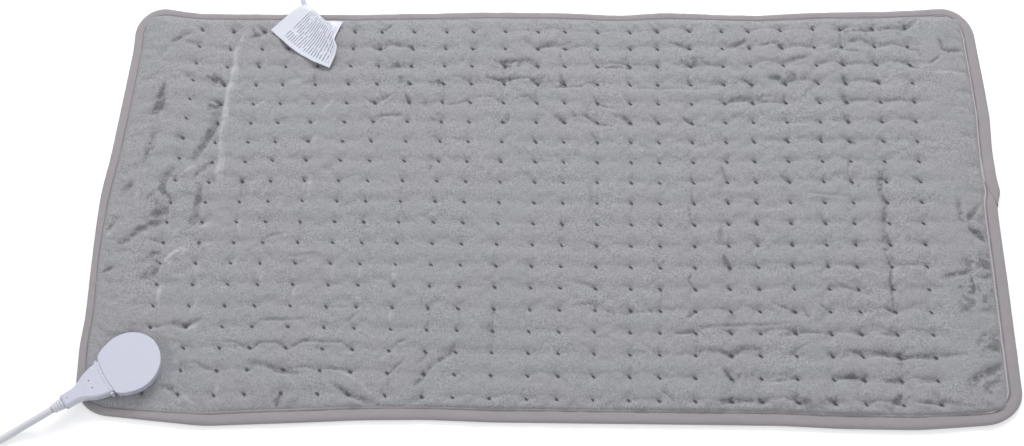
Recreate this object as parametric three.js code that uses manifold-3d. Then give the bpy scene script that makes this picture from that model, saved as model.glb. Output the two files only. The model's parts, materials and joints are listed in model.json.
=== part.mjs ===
// Electric heating pad with a plug-in lead and an in-line push-button hand controller.
// Millimetres, +Z up. The origin is the centre of the pad's underside, +X runs along the
// pad's long side and +Y towards the edge that carries the care label.
import * as THREE from 'three';
import { mergeVertices } from 'three/addons/utils/BufferGeometryUtils.js';
import Module from 'manifold-3d';

const wasm = await Module();
wasm.setup();

// Driving dimensions of the pad
const padWidth = 840;
const padDepth = 430;
const padCornerRadius = 32;
const boundEdgeHeight = 4.8;
const bindingThickness = 0.6;
const bindingLegWidth = 10.5;
const bindingEdgeSoftness = 1.4;
const stitchRowInset = 8.6;
const stitchRowWidth = 0.8;
const stitchRowHeight = 0.3;
const bottomCoverThickness = 1.2;
const lowerWaddingThickness = 1.0;
const carrierThickness = 0.3;
const upperWaddingThickness = 0.8;
const coverSkinAtTack = 0.6;
const puffRise = 2.9;
const marginRise = 1.2;
const marginCrownRise = 1.9;
const coverInset = 3;
const fillInset = 18;
const marginInset = 15.5;

// Quilting: bar tacks in a grid whose columns repeat wide, wide, narrow
const tackWidePitch = 32.6;
const tackNarrowPitch = 27.2;
const tackRowPitch = 21.4;
const tackLeftInset = 61.5;
const tackRightInset = 60;
const tackFarInset = 23;
const tackNearInset = 20.8;

// Heating element
const wireDiameter = 1.6;
const wireBendRadius = 2;
const elementTurnInset = 95;
const returnRunInset = 39;

// Receptacle puck on the pad's near left corner, and the plug that pushes into it
const puckInsetX = 49.8;
const puckInsetY = 43.5;
const plugAxisDegrees = 214.5;
const puckRadius = 28.5;
const puckTop = 18;
const puckWall = 1.8;
const puckEdgeRadius = 1.3;
const seamHalfWidth = 17.8;
const seamArcRadius = 80;
const baseThickness = 2;
const backingRadius = 25;
const seatSkin = 1;
const coverOpeningRadius = 22;
const puckScrewCircle = 19.5;
const leadHoleAlong = 4;
const leadHoleAcross = 14;
const puckScrewDegrees = [130, 180, 230];
const puckScrewRadius = 1.2;
const puckScrewHeadRadius = 2.4;
const puckBossRadius = 3;
const socketWidth = 22;
const socketHeight = 6.8;
const contactSpacing = 6;
const contactPinDiameter = 1.6;
const contactSleeveDiameter = 2.8;
const contactBlockStart = 2;
const contactBlockEnd = 10;
const pinReach = 17.5;
const cutoutLength = 8;
const cutoutWidth = 5;
const cutoutHeight = 4;
const cutoutPlace = -9;
const noseTip = 11.5;
const noseGrip = 4;
const sleeveLength = 8.5;
const plugAxisHeight = 12.6;
const plugBottom = 7.4;
const plugEdgeRadius = 1.6;
const plugWall = 1.8;
const plugFanLength = 33;
const plugNeckLength = 9;
const plugNeckWidth = 12;
const plugShoulderShare = 0.62;
const plugWaistShare = 0.3;
const gripEarLength = 3.2;
const gripEarReach = 2.9;
const gripEarHeight = 7.6;
const plugTravel = 20;
const plugReliefStubRadius = 3.8;
const plugReliefStubLength = 8;
const plugReliefGrooveDepth = 0.9;
const plugReliefWall = 0.65;

// Leads
const cordDiameter = 6.6;
const cordLift = 0.1;
const plugReliefLength = 11;
const coilTurnPitch = 7.3;
const coilLayerRise = 7.2;
const padCoilRadius = 41;
const padCoilX = -550;
const padCoilY = -222.5;
const padCoilTurns = 3.25;
const mainsCoilRadius = 51;
const mainsCoilX = -630;
const mainsCoilY = 131;
const mainsCoilTurns = 6.25;

// Hand controller
const controllerX = -591;
const controllerY = -68;
const controllerWidth = 50;
const controllerHeight = 21;
const controllerCornerRadius = 18;
const controllerEdgeRadius = 2.6;
const controllerWall = 2;
const controllerSplit = 11;
const controllerReliefLength = 26;
const reliefGripRadius = 6;
const reliefGripLength = 2;
const reliefNeckRadius = 4.2;
const reliefOuterRadius = 5.5;
const reliefTipWall = 0.65;
const windowWidth = 32;
const windowLength = 22;
const windowFlangeThickness = 1;
const windowFlangeReach = 1;
const buttonDiameter = 12;
const powerButtonDiameter = 16;
const buttonPairSpacing = 22;
const windowToButtons = 7;
const buttonRowGap = 8;
const powerButtonGap = 10;
const buttonProud = 1;
const buttonTravel = 0.9;
const buttonEdge = 0.4;
const buttonFlangeThickness = 1.5;
const buttonFlangeReach = 1;
const buttonStemRadius = 1.6;
const boardThickness = 1.6;
const boardHeight = 8;
const boardMargin = 3;
const switchSize = 6;
const switchHeight = 3.5;
const screwInsetX = 8;
const screwInsetY = 16;
const caseScrewDiameter = 2.6;
const caseScrewHeadRadius = 2.5;
const caseScrewHeadHeight = 1.8;
const caseBossRadius = 3;
const relayWidth = 18;
const relayDepth = 9;
const relayHeight = 8;
const fuseRadius = 2.5;
const fuseLength = 20;
const boardEndSetback = 15;
const relayToWindow = 5.5;
const fuseToPowerButton = 2.5;

// Mains plug
const mainsPlugX = -681;
const mainsPlugY = 174;
const mainsPlugWidth = 26;
const mainsPlugThickness = 19;
const mainsPlugLength = 30;
const mainsPlugEdgeRadius = 4;
const mainsPlugFaceEdge = 1.3;
const mainsReliefLength = 24;
const mainsStubLength = 8;
const bladeSpacing = 12.7;
const bladeWidth = 6.3;
const bladeThickness = 1.5;
const bladeLength = 17;

// Care label, a strip of satin held by one corner at the far binding
const labelInset = 154.5;
const labelSetback = 15.5;
const labelAngleDegrees = -33.5;
const labelWidth = 42;
const labelLength = 75;
const labelLift = 4.4;
const labelThickness = 0.5;
const labelTabWidth = 4;
const labelTabDrop = 3;

// Shared clearances and counts
const gap = 0.3;
const slip = 0.1;
const overrun = 5;
const cornerSteps = 6;
const edgeSteps = 2;
const roundSteps = 32;
const seamSteps = 5;
const smallRoundSteps = 14;
const screwSteps = 10;
const capSteps = 20;
const plugSteps = 5;
const cordSides = 8;
const wireSides = 5;
const loopSides = 6;
const loopSteps = 24;

// Places of the puck and the care label, from the pad's edges
const puckX = -padWidth / 2 + puckInsetX;
const puckY = -padDepth / 2 + puckInsetY;
const labelX = -padWidth / 2 + labelInset;

// The controller's length is what its window, its buttons and the parts at its ends take up
const windowEndMargin = boardEndSetback + relayDepth / 2 + relayToWindow;
const powerEndMargin = boardEndSetback + fuseRadius + fuseToPowerButton;
const buttonRowsLength = 2 * buttonDiameter + buttonRowGap + powerButtonGap + powerButtonDiameter;
const controllerLength = (
  windowEndMargin + windowLength + windowToButtons + buttonRowsLength + powerEndMargin);
const windowY = controllerLength / 2 - windowEndMargin - windowLength / 2;
const buttonPairY = windowY - windowLength / 2 - windowToButtons - buttonDiameter / 2;
const timerButtonY = buttonPairY - buttonDiameter - buttonRowGap;
const powerButtonY = timerButtonY - (buttonDiameter + powerButtonDiameter) / 2 - powerButtonGap;

// Levels worked out from the layers' thicknesses
const fillBottom = bottomCoverThickness;
const carrierBottom = fillBottom + lowerWaddingThickness;
const wireLevel = carrierBottom + carrierThickness + slip + wireDiameter / 2;
const upperWaddingBottom = wireLevel + wireDiameter / 2 + slip;
const coverBase = upperWaddingBottom + upperWaddingThickness;
const tackLevel = coverBase + coverSkinAtTack;
const puffLevel = tackLevel + puffRise;
const marginLevel = tackLevel + marginRise;
const crownLevel = tackLevel + marginCrownRise;
const bindingUnderside = boundEdgeHeight - bindingThickness;
const coverEdgeLevel = bindingUnderside - 2 * slip;
const seatLevel = coverBase + seatSkin;
const baseBottom = seatLevel + gap;
const baseTop = baseBottom + baseThickness;
const puckCeiling = puckTop - puckWall;

// Materials
const plush = surface(0x9fa1a6, 0.95);
const plushUnder = surface(0x94969b, 0.95);
const tape = surface(0x9c9499, 0.8);
const thread = surface(0x6d696d, 0.8);
const wadding = surface(0xe8e6e0, 1);
const carrierFabric = surface(0xd9d5c8, 0.9);
const wireJacket = surface(0xc65a3a, 0.5);
const satin = surface(0xdfe1ea, 0.45);
const glossWhite = surface(0xdcdde8, 0.25);
const satinWhite = surface(0xd8d9e2, 0.4);
const softWhite = surface(0xdadbe2, 0.5);
const insulator = surface(0x2b2b2e, 0.5);
const brass = surface(0xc9a04a, 0.3, 1);
const steel = surface(0xb6b8bb, 0.35, 1);
const smoked = surface(0x14171b, 0.1);
const board = surface(0x2f6b3d, 0.5);
const relayBlue = surface(0x2e4f8a, 0.4);
const buttonGrey = surface(0xb9bcc4, 0.4);

function surface(color, roughness, metalness = 0) {
  return new THREE.MeshStandardMaterial({ color, roughness, metalness });
}

// Solid helpers
function toSolid(geometry) {
  const bare = geometry.clone();
  bare.deleteAttribute('normal');
  bare.deleteAttribute('uv');
  const merged = mergeVertices(bare, 1e-5);
  return new wasm.Manifold(new wasm.Mesh({
    numProp: 3,
    vertProperties: new Float32Array(merged.attributes.position.array),
    triVerts: new Uint32Array(merged.index.array),
  }));
}

function toGeometry(solid) {
  const mesh = solid.getMesh();
  const geometry = new THREE.BufferGeometry();
  geometry.setAttribute('position', new THREE.BufferAttribute(mesh.vertProperties, 3));
  geometry.setIndex(new THREE.BufferAttribute(mesh.triVerts, 1));
  return geometry;
}

function cut(geometry, ...tools) {
  let solid = toSolid(geometry);
  for (const tool of tools) solid = solid.subtract(toSolid(tool));
  return toGeometry(solid);
}

function join(...geometries) {
  const [first, ...rest] = geometries.map(toSolid);
  return toGeometry(rest.reduce((sum, solid) => sum.add(solid), first));
}

function keepInside(geometry, region) {
  return toGeometry(toSolid(geometry).intersect(toSolid(region)));
}

// A box between two heights, centred on x and y
function block(width, depth, bottom, top, x = 0, y = 0) {
  const box = new THREE.BoxGeometry(width, depth, top - bottom);
  return box.translate(x, y, (bottom + top) / 2);
}

// An upright disc or, with a lower radius, a cone
function disc(radius, bottom, top, x = 0, y = 0, steps = roundSteps, lowerRadius = radius) {
  const cylinder = new THREE.CylinderGeometry(radius, lowerRadius, top - bottom, steps);
  return cylinder.rotateX(Math.PI / 2).translate(x, y, (bottom + top) / 2);
}

// A rod along x
function rodAlongX(radius, start, end, y, z, steps = screwSteps) {
  const cylinder = new THREE.CylinderGeometry(radius, radius, end - start, steps);
  return cylinder.rotateZ(Math.PI / 2).translate((start + end) / 2, y, z);
}

// A turned body along x, from pairs of place and radius
function turnedAlongX(profile, z, steps = smallRoundSteps) {
  const points = profile.map(([place, radius]) => new THREE.Vector2(radius, place));
  const first = new THREE.Vector2(0, profile[0][0]);
  const last = new THREE.Vector2(0, profile[profile.length - 1][0]);
  const lathe = new THREE.LatheGeometry([first, ...points, last], steps);
  return lathe.rotateZ(-Math.PI / 2).translate(0, 0, z);
}

// A plan outline raised between two heights, with rounded top and bottom edges if asked
function raise(shape, bottom, top, edgeRadius = 0, steps = cornerSteps) {
  const geometry = new THREE.ExtrudeGeometry(shape, {
    depth: top - bottom - 2 * edgeRadius,
    curveSegments: steps,
    bevelEnabled: edgeRadius > 0,
    bevelThickness: edgeRadius,
    bevelSize: edgeRadius,
    bevelOffset: -edgeRadius,
    bevelSegments: edgeSteps,
  });
  return geometry.translate(0, 0, bottom + edgeRadius);
}

// Points of a rounded rectangle, the same number for every inset, anticlockwise
function roundedLoop(width, depth, radius, inset, steps = cornerSteps) {
  const bend = Math.max(radius - inset, radius / 10);
  const reachX = width / 2 - inset - bend;
  const reachY = depth / 2 - inset - bend;
  const points = [];
  for (const [signX, signY, start] of [[1, 1, 0], [-1, 1, 1], [-1, -1, 2], [1, -1, 3]]) {
    for (let step = 0; step <= steps; step += 1) {
      const angle = (start + step / steps) * Math.PI / 2;
      const x = signX * reachX + bend * Math.cos(angle);
      const y = signY * reachY + bend * Math.sin(angle);
      points.push(new THREE.Vector2(x, y));
    }
  }
  return points;
}

function padLoop(inset) {
  return roundedLoop(padWidth, padDepth, padCornerRadius, inset);
}

function roundedPlate(width, depth, radius) {
  return new THREE.Shape(roundedLoop(width, depth, radius, 0));
}

// Collects points and faces for a body that is made face by face
class FaceBuilder {
  constructor() {
    this.points = [];
    this.faces = [];
  }

  point(x, y, z) {
    this.points.push(x, y, z);
    return this.points.length / 3 - 1;
  }

  loop(points, z) {
    return points.map(({ x, y }) => this.point(x, y, z));
  }

  face(a, b, c) {
    this.faces.push(a, b, c);
  }

  // Faces between two loops of equal count; the first is the lower or outer one
  band(lower, upper) {
    for (let i = 0; i < lower.length; i += 1) {
      const next = (i + 1) % lower.length;
      this.face(lower[i], lower[next], upper[next]);
      this.face(lower[i], upper[next], upper[i]);
    }
  }

  // Faces between two loops of unequal count round one centre, outer loop first
  stitch(outer, inner) {
    const angleOf = (index) => Math.atan2(this.points[3 * index + 1], this.points[3 * index]);
    const sorted = (loop) => [...loop].sort((a, b) => angleOf(a) - angleOf(b));
    const far = sorted(outer);
    const near = sorted(inner);
    const next = (loop, index) => {
      if (index >= loop.length) return Infinity;
      const wrapped = index + 1 === loop.length;
      return angleOf(loop[(index + 1) % loop.length]) + (wrapped ? 2 * Math.PI : 0);
    };
    let i = 0;
    let j = 0;
    while (i < far.length || j < near.length) {
      const a = far[i % far.length];
      const b = near[j % near.length];
      if (next(far, i) < next(near, j)) {
        this.face(a, far[(i + 1) % far.length], b);
        i += 1;
      } else {
        this.face(a, near[(j + 1) % near.length], b);
        j += 1;
      }
    }
  }

  // A flat lid over a loop, facing up, or down if asked
  lid(loop, points, facingUp) {
    for (const [a, b, c] of THREE.ShapeUtils.triangulateShape(points, [])) {
      if (facingUp) this.face(loop[a], loop[b], loop[c]);
      else this.face(loop[a], loop[c], loop[b]);
    }
  }

  build() {
    const geometry = new THREE.BufferGeometry();
    geometry.setAttribute('position', new THREE.Float32BufferAttribute(this.points, 3));
    geometry.setIndex(this.faces);
    return geometry;
  }
}

// A body whose section, given as pairs of inset and height, runs right round the pad
function runRoundPad(section) {
  const builder = new FaceBuilder();
  const loops = section.map(([inset, z]) => builder.loop(padLoop(inset), z));
  for (let i = 0; i < loops.length; i += 1) builder.band(loops[i], loops[(i + 1) % loops.length]);
  return builder.build();
}

// A tube along a list of points, closed at both ends
function tube(points, radius, sides) {
  const builder = new FaceBuilder();
  const count = points.length;
  const tangents = points.map((point, i) => {
    const before = points[Math.max(i - 1, 0)];
    const after = points[Math.min(i + 1, count - 1)];
    return after.clone().sub(before).normalize();
  });
  const steep = Math.abs(tangents[0].z) > Math.SQRT1_2;
  const across = steep ? new THREE.Vector3(1, 0, 0) : new THREE.Vector3(0, 0, 1);
  let normal = across.clone().addScaledVector(tangents[0], -across.dot(tangents[0])).normalize();
  const rings = points.map((point, i) => {
    normal = normal.clone().addScaledVector(tangents[i], -normal.dot(tangents[i])).normalize();
    const side = tangents[i].clone().cross(normal);
    const ring = [];
    for (let k = 0; k < sides; k += 1) {
      const angle = 2 * Math.PI * (k + 0.5) / sides;
      const place = point.clone();
      place.addScaledVector(normal, radius * Math.cos(angle));
      place.addScaledVector(side, radius * Math.sin(angle));
      ring.push(builder.point(place.x, place.y, place.z));
    }
    return ring;
  });
  for (let i = 1; i < count; i += 1) builder.band(rings[i - 1], rings[i]);
  for (let k = 1; k < sides - 1; k += 1) {
    builder.face(rings[0][0], rings[0][k + 1], rings[0][k]);
    builder.face(rings[count - 1][0], rings[count - 1][k], rings[count - 1][k + 1]);
  }
  return builder.build();
}

// The group that is exported, and turned groups for the puck and its plug
const heatingPad = new THREE.Group();
const plugAxis = THREE.MathUtils.degToRad(plugAxisDegrees);

function puckFrame() {
  const frame = new THREE.Group();
  frame.position.set(puckX, puckY, 0);
  frame.rotation.z = plugAxis;
  heatingPad.add(frame);
  return frame;
}

function add(name, geometry, material, parent = heatingPad) {
  const mesh = new THREE.Mesh(geometry, material);
  mesh.name = name;
  parent.add(mesh);
}

// Repeated pieces are numbered from 1
function addEach(name, geometries, material, parent) {
  geometries.forEach((geometry, index) => add(`${name}_${index + 1}`, geometry, material, parent));
}

// A place given along and across the plug's axis, in the pad's own axes
function fromPuck(along, across) {
  const x = puckX + along * Math.cos(plugAxis) - across * Math.sin(plugAxis);
  const y = puckY + along * Math.sin(plugAxis) + across * Math.cos(plugAxis);
  return new THREE.Vector2(x, y);
}

// Quilting grid
function tackColumns() {
  const places = [];
  let x = -padWidth / 2 + tackLeftInset;
  while (x <= padWidth / 2 - tackRightInset) {
    places.push(x);
    x += places.length % 3 === 0 ? tackNarrowPitch : tackWidePitch;
  }
  return places;
}

function tackRows() {
  const places = [];
  for (let y = -padDepth / 2 + tackNearInset; y <= padDepth / 2 - tackFarInset; y += tackRowPitch) {
    places.push(y);
  }
  return places;
}

const columns = tackColumns();
const rows = tackRows();

// Receptacle screws and lead holes, as places along and across the plug's axis
const puckScrewPlaces = puckScrewDegrees.map((degrees) => {
  const angle = THREE.MathUtils.degToRad(degrees);
  return [puckScrewCircle * Math.cos(angle), puckScrewCircle * Math.sin(angle)];
});
const leadHolePlaces = [[leadHoleAlong, -leadHoleAcross], [leadHoleAlong, leadHoleAcross]];
const leadHoleRadius = wireDiameter / 2 + wireBendRadius / 2 + gap;

// Bottom cover: flat underneath, with a raised rim that the binding folds under
function bottomCover() {
  const builder = new FaceBuilder();
  const flatLoop = padLoop(bindingLegWidth + gap);
  const rimLoop = padLoop(coverInset);
  const underside = builder.loop(flatLoop, 0);
  const underRim = builder.loop(flatLoop, bindingThickness + slip);
  const rimLow = builder.loop(rimLoop, bindingThickness + slip);
  const rimHigh = builder.loop(rimLoop, bottomCoverThickness);
  builder.lid(underside, flatLoop, false);
  builder.band(underside, underRim);
  builder.band(underRim, rimLow);
  builder.band(rimLow, rimHigh);
  builder.lid(rimHigh, rimLoop, true);
  return builder.build();
}

function flatLayer(bottom, top) {
  const shape = new THREE.Shape(padLoop(fillInset));
  return raise(shape, bottom, top);
}

// The upper wadding has a round hole that the puck's backing plate lies in
function upperWadding() {
  const low = upperWaddingBottom - overrun;
  const pocket = disc(backingRadius + gap, low, coverBase + overrun, puckX, puckY);
  return cut(flatLayer(upperWaddingBottom, coverBase - slip), pocket);
}

// Top cover: low at every tack, puffed between tacks, and closed down to the bound edge
function topCover() {
  const builder = new FaceBuilder();
  const edgeX = padWidth / 2 - marginInset;
  const edgeY = padDepth / 2 - marginInset;
  const leftCrown = (columns[0] - edgeX) / 2;
  const rightCrown = (columns[columns.length - 1] + edgeX) / 2;
  const gridX = [-edgeX, leftCrown, ...columns, rightCrown, edgeX];
  const gridY = [-edgeY, ...rows, edgeY];
  const lastX = gridX.length - 1;
  const lastY = gridY.length - 1;
  const cornerPull = marginInset - padCornerRadius + (padCornerRadius - marginInset) * Math.SQRT1_2;
  const grid = gridX.map((x, i) => gridY.map((y, j) => {
    const onSide = i === 0 || i === lastX;
    const onEnd = j === 0 || j === lastY;
    const onCrown = i === 1 || i === lastX - 1;
    const pull = onSide && onEnd ? cornerPull : 0;
    const level = onSide || onEnd ? marginLevel : onCrown ? crownLevel : tackLevel;
    return builder.point(x + Math.sign(x) * pull, y + Math.sign(y) * pull, level);
  }));
  for (let i = 0; i < lastX; i += 1) {
    for (let j = 0; j < lastY; j += 1) {
      const [a, b, c, d] = [grid[i][j], grid[i + 1][j], grid[i + 1][j + 1], grid[i][j + 1]];
      const tufted = i > 1 && i < lastX - 2 && j > 0 && j < lastY - 1;
      if (tufted) {
        const top = builder.point((gridX[i] + gridX[i + 1]) / 2, (gridY[j] + gridY[j + 1]) / 2, puffLevel);
        for (const [from, to] of [[a, b], [b, c], [c, d], [d, a]]) builder.face(from, to, top);
      } else {
        builder.face(a, b, c);
        builder.face(a, c, d);
      }
    }
  }
  const border = [];
  for (let i = 0; i < lastX; i += 1) border.push(grid[i][0]);
  for (let j = 0; j < lastY; j += 1) border.push(grid[lastX][j]);
  for (let i = lastX; i > 0; i -= 1) border.push(grid[i][lastY]);
  for (let j = lastY; j > 0; j -= 1) border.push(grid[0][j]);
  const seamLoop = builder.loop(padLoop(bindingLegWidth + gap), coverEdgeLevel);
  const rimHigh = builder.loop(padLoop(coverInset), coverEdgeLevel);
  const rimLow = builder.loop(padLoop(coverInset), bottomCoverThickness + slip);
  const linerLoop = padLoop(fillInset - gap);
  const liner = builder.loop(linerLoop, coverBase);
  builder.stitch(seamLoop, border);
  builder.band(rimHigh, seamLoop);
  builder.band(rimLow, rimHigh);
  builder.band(liner, rimLow);
  builder.lid(liner, linerLoop, false);
  return builder.build();
}

// What the puck and the plug press flat, and the opening that the puck's halves clamp
function seatTools() {
  const above = puffLevel + overrun;
  const seatRadius = (puckRadius + gap) / Math.cos(Math.PI / capSteps);
  const puckSeat = disc(seatRadius, seatLevel, above, puckX, puckY, capSteps);
  const seatWidth = 2 * (seamHalfWidth + gripEarReach + gap);
  const seatLength = puckRadius + plugFanLength + plugNeckLength + plugTravel;
  const plugSeat = block(seatLength, seatWidth, plugBottom - gap, above, seatLength / 2, 0);
  plugSeat.rotateZ(plugAxis).translate(puckX, puckY, 0);
  const opening = disc(coverOpeningRadius, coverBase - overrun, above, puckX, puckY, capSteps);
  return [puckSeat, plugSeat, opening];
}

// Binding tape folded round the edge, open towards the pad
function edgeBinding() {
  const middle = boundEdgeHeight / 2;
  const leg = bindingLegWidth;
  const inner = bindingThickness + slip;
  return runRoundPad([
    [leg, 0],
    [leg, bindingThickness],
    [coverInset - slip * 2, bindingThickness],
    [inner, middle - bindingThickness],
    [inner, middle + bindingThickness],
    [coverInset - slip * 2, bindingUnderside],
    [leg, bindingUnderside],
    [leg, boundEdgeHeight],
    [bindingEdgeSoftness, boundEdgeHeight],
    [0, middle + bindingThickness],
    [0, middle - bindingThickness],
    [bindingEdgeSoftness, 0],
  ].reverse());
}

function bindingStitching() {
  const inner = stitchRowInset + stitchRowWidth;
  return runRoundPad([
    [stitchRowInset, boundEdgeHeight + slip],
    [stitchRowInset, boundEdgeHeight + slip + stitchRowHeight],
    [inner, boundEdgeHeight + slip + stitchRowHeight],
    [inner, boundEdgeHeight + slip],
  ]);
}

// One unbroken heating wire: up from the puck, along every second gap between tack rows,
// back down the left margin and up into the puck again
function heatingWire() {
  const runCount = 2 * Math.floor((rows.length - 1) / 2);
  const leftTurn = -padWidth / 2 + elementTurnInset;
  const rightTurn = padWidth / 2 - elementTurnInset;
  const bend = tackRowPitch / 2;
  const runY = (run) => (rows[run] + rows[run + 1]) / 2;
  const points = [];
  const at = (x, y, z = wireLevel) => points.push(new THREE.Vector3(x, y, z));
  const riser = (place, heading, upwards) => {
    const steps = [];
    const top = baseTop + puckWall * 2;
    steps.push(new THREE.Vector3(place.x, place.y, top));
    for (let step = 0; step <= cornerSteps / 2; step += 1) {
      const angle = step / (cornerSteps / 2) * Math.PI / 2;
      const out = wireBendRadius * (1 - Math.cos(angle));
      const z = wireLevel + wireBendRadius * (1 - Math.sin(angle));
      steps.push(new THREE.Vector3(place.x + heading.x * out, place.y + heading.y * out, z));
    }
    points.push(...(upwards ? steps.reverse() : steps));
  };
  const first = fromPuck(...leadHolePlaces[1]);
  const last = fromPuck(...leadHolePlaces[0]);
  const towardsRun = new THREE.Vector2(leftTurn, runY(0)).sub(first).normalize();
  riser(first, towardsRun, false);
  for (let run = 0; run < runCount; run += 1) {
    const rightwards = run % 2 === 0;
    const [startX, endX] = rightwards ? [leftTurn, rightTurn] : [rightTurn, leftTurn];
    at(startX, runY(run));
    at(endX, runY(run));
    if (run === runCount - 1) break;
    const side = rightwards ? 1 : -1;
    for (let step = 1; step < cornerSteps - 1; step += 1) {
      const angle = -Math.PI / 2 + step / (cornerSteps - 1) * Math.PI;
      at(endX + side * bend * Math.cos(angle), runY(run) + bend + bend * Math.sin(angle));
    }
  }
  const returnX = -padWidth / 2 + returnRunInset;
  const topY = runY(runCount - 1);
  for (let step = 0; step <= cornerSteps - 1; step += 1) {
    const angle = Math.PI / 2 + step / (cornerSteps - 1) * Math.PI / 2;
    at(returnX + bend + bend * Math.cos(angle), topY - bend + bend * Math.sin(angle));
  }
  const lastTurn = new THREE.Vector2(returnX, last.y + 2 * bend);
  at(lastTurn.x, lastTurn.y);
  riser(last, lastTurn.sub(last).normalize(), true);
  return tube(points, wireDiameter / 2, wireSides);
}

// Care label: lies across the puffs with its ends curled up, and one corner runs down a
// narrow tab to the bound edge that holds it
const labelProfileShares = [
  [0, 1], [0.15, 0.75], [0.32, 0.2], [0.45, 0], [0.75, 0], [0.9, 0.15], [1, 0.4],
];

function careLabel() {
  const low = puffLevel + gap + labelThickness;
  const upper = labelProfileShares.map(([lengthShare, liftShare]) => (
    new THREE.Vector2(lengthShare * labelLength, low + liftShare * labelLift)));
  const lower = upper.map(({ x, y }) => new THREE.Vector2(x, y - labelThickness)).reverse();
  const strip = new THREE.Shape([...upper, ...lower].reverse());
  const sheet = new THREE.ExtrudeGeometry(strip, { depth: labelWidth, bevelEnabled: false });
  sheet.rotateX(Math.PI / 2).translate(0, labelWidth / 2, 0);
  sheet.rotateZ(THREE.MathUtils.degToRad(labelAngleDegrees));
  sheet.translate(labelX, padDepth / 2 - labelSetback, 0);
  const acrossAngle = THREE.MathUtils.degToRad(labelAngleDegrees + 90);
  const tabX = labelX + labelWidth / 2 * Math.cos(acrossAngle);
  const tabY = padDepth / 2 + gap + labelThickness / 2;
  const tabTop = low + labelLift - labelThickness / 2;
  const tab = block(labelTabWidth, labelThickness, boundEdgeHeight - labelTabDrop, tabTop, tabX, tabY);
  return join(sheet, tab);
}

add('bottom_cover', bottomCover(), plushUnder);
add('lower_wadding', flatLayer(fillBottom, fillBottom + lowerWaddingThickness), wadding);
add('element_carrier', flatLayer(carrierBottom, carrierBottom + carrierThickness), carrierFabric);
add('heating_wire', heatingWire(), wireJacket);
add('upper_wadding', upperWadding(), wadding);
add('top_cover', cut(topCover(), ...seatTools()), plush);
add('edge_binding', edgeBinding(), tape);
add('binding_stitching', bindingStitching(), thread);
add('care_label', careLabel(), satin);

// Outline of the puck: a circle, flattened to a shallow arc where the plug meets it
function puckOutline(inset) {
  const radius = puckRadius - inset;
  const seamCentre = seamArcCentre();
  const seamRadius = seamArcRadius - inset;
  const meet = circleMeet(radius, seamCentre, seamRadius);
  const open = Math.atan2(meet.y, meet.x);
  const lean = Math.atan2(meet.y, meet.x - seamCentre);
  const round = arcPoints(0, radius, open, 2 * Math.PI - open, roundSteps);
  const seam = arcPoints(seamCentre, seamRadius, -lean, lean, seamSteps);
  return new THREE.Shape([...round.slice(0, -1), ...seam.slice(0, -1)]);
}

// Points of an arc whose centre lies on the plug's axis
function arcPoints(centre, radius, start, end, steps) {
  const points = [];
  for (let step = 0; step <= steps; step += 1) {
    const angle = start + (end - start) * step / steps;
    points.push(new THREE.Vector2(centre + radius * Math.cos(angle), radius * Math.sin(angle)));
  }
  return points;
}

function seamArcCentre() {
  const chord = Math.sqrt(puckRadius ** 2 - seamHalfWidth ** 2);
  return chord - Math.sqrt(seamArcRadius ** 2 - seamHalfWidth ** 2);
}

// Where a circle about the puck's centre crosses the seam's circle
function circleMeet(radius, seamCentre, seamRadius) {
  const x = (radius ** 2 - seamRadius ** 2 + seamCentre ** 2) / (2 * seamCentre);
  return new THREE.Vector2(x, Math.sqrt(radius ** 2 - x ** 2));
}

const seamFront = seamArcCentre() + seamArcRadius;
const noseHeight = socketHeight - 2 * gap;
const noseWidth = socketWidth - 2 * gap;
const contactPlaces = [-contactSpacing, 0, contactSpacing];
const contactBlockTop = plugAxisHeight + noseHeight / 2;

function receptacleHousing() {
  const shell = raise(puckOutline(0), baseBottom, puckTop, puckEdgeRadius);
  const hollow = raise(puckOutline(puckWall), baseBottom - overrun, puckCeiling);
  const mouthBottom = plugAxisHeight - socketHeight / 2;
  const mouth = block(overrun * 2, socketWidth, mouthBottom, mouthBottom + socketHeight, seamFront, 0);
  const bosses = puckScrewPlaces.map(([along, across]) => (
    disc(puckBossRadius, baseTop + gap, puckCeiling + puckWall / 2, along, across, smallRoundSteps)));
  const pilots = puckScrewPlaces.map(([along, across]) => (
    disc(puckScrewRadius + gap, baseTop - overrun, puckCeiling - puckWall / 2, along, across, screwSteps)));
  return cut(join(cut(shell, hollow, mouth), ...bosses), ...pilots);
}

function holesInPuckFrame(places, radius, bottom, top) {
  return places.map(([along, across]) => disc(radius, bottom, top, along, across, screwSteps));
}

function receptacleBase() {
  const plate = raise(puckOutline(puckWall + gap), baseBottom, baseTop);
  const low = baseBottom - overrun;
  const high = baseTop + overrun;
  return cut(
    plate,
    ...holesInPuckFrame(puckScrewPlaces, puckScrewRadius + gap, low, high),
    ...holesInPuckFrame(leadHolePlaces, leadHoleRadius, low, high),
  );
}

function backingPlate() {
  const plate = disc(backingRadius, upperWaddingBottom + slip, coverBase - slip);
  const low = upperWaddingBottom - overrun;
  const high = coverBase + overrun;
  return cut(
    plate,
    ...holesInPuckFrame(puckScrewPlaces, puckScrewRadius + gap, low, high),
    ...holesInPuckFrame(leadHolePlaces, leadHoleRadius, low, high),
  );
}

function receptacleScrews() {
  const headTop = upperWaddingBottom + slip - gap;
  return puckScrewPlaces.map(([along, across]) => join(
    disc(puckScrewHeadRadius, headTop - puckScrewRadius, headTop, along, across, screwSteps),
    disc(puckScrewRadius, headTop - slip, puckCeiling - puckWall, along, across, screwSteps),
  ));
}

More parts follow.
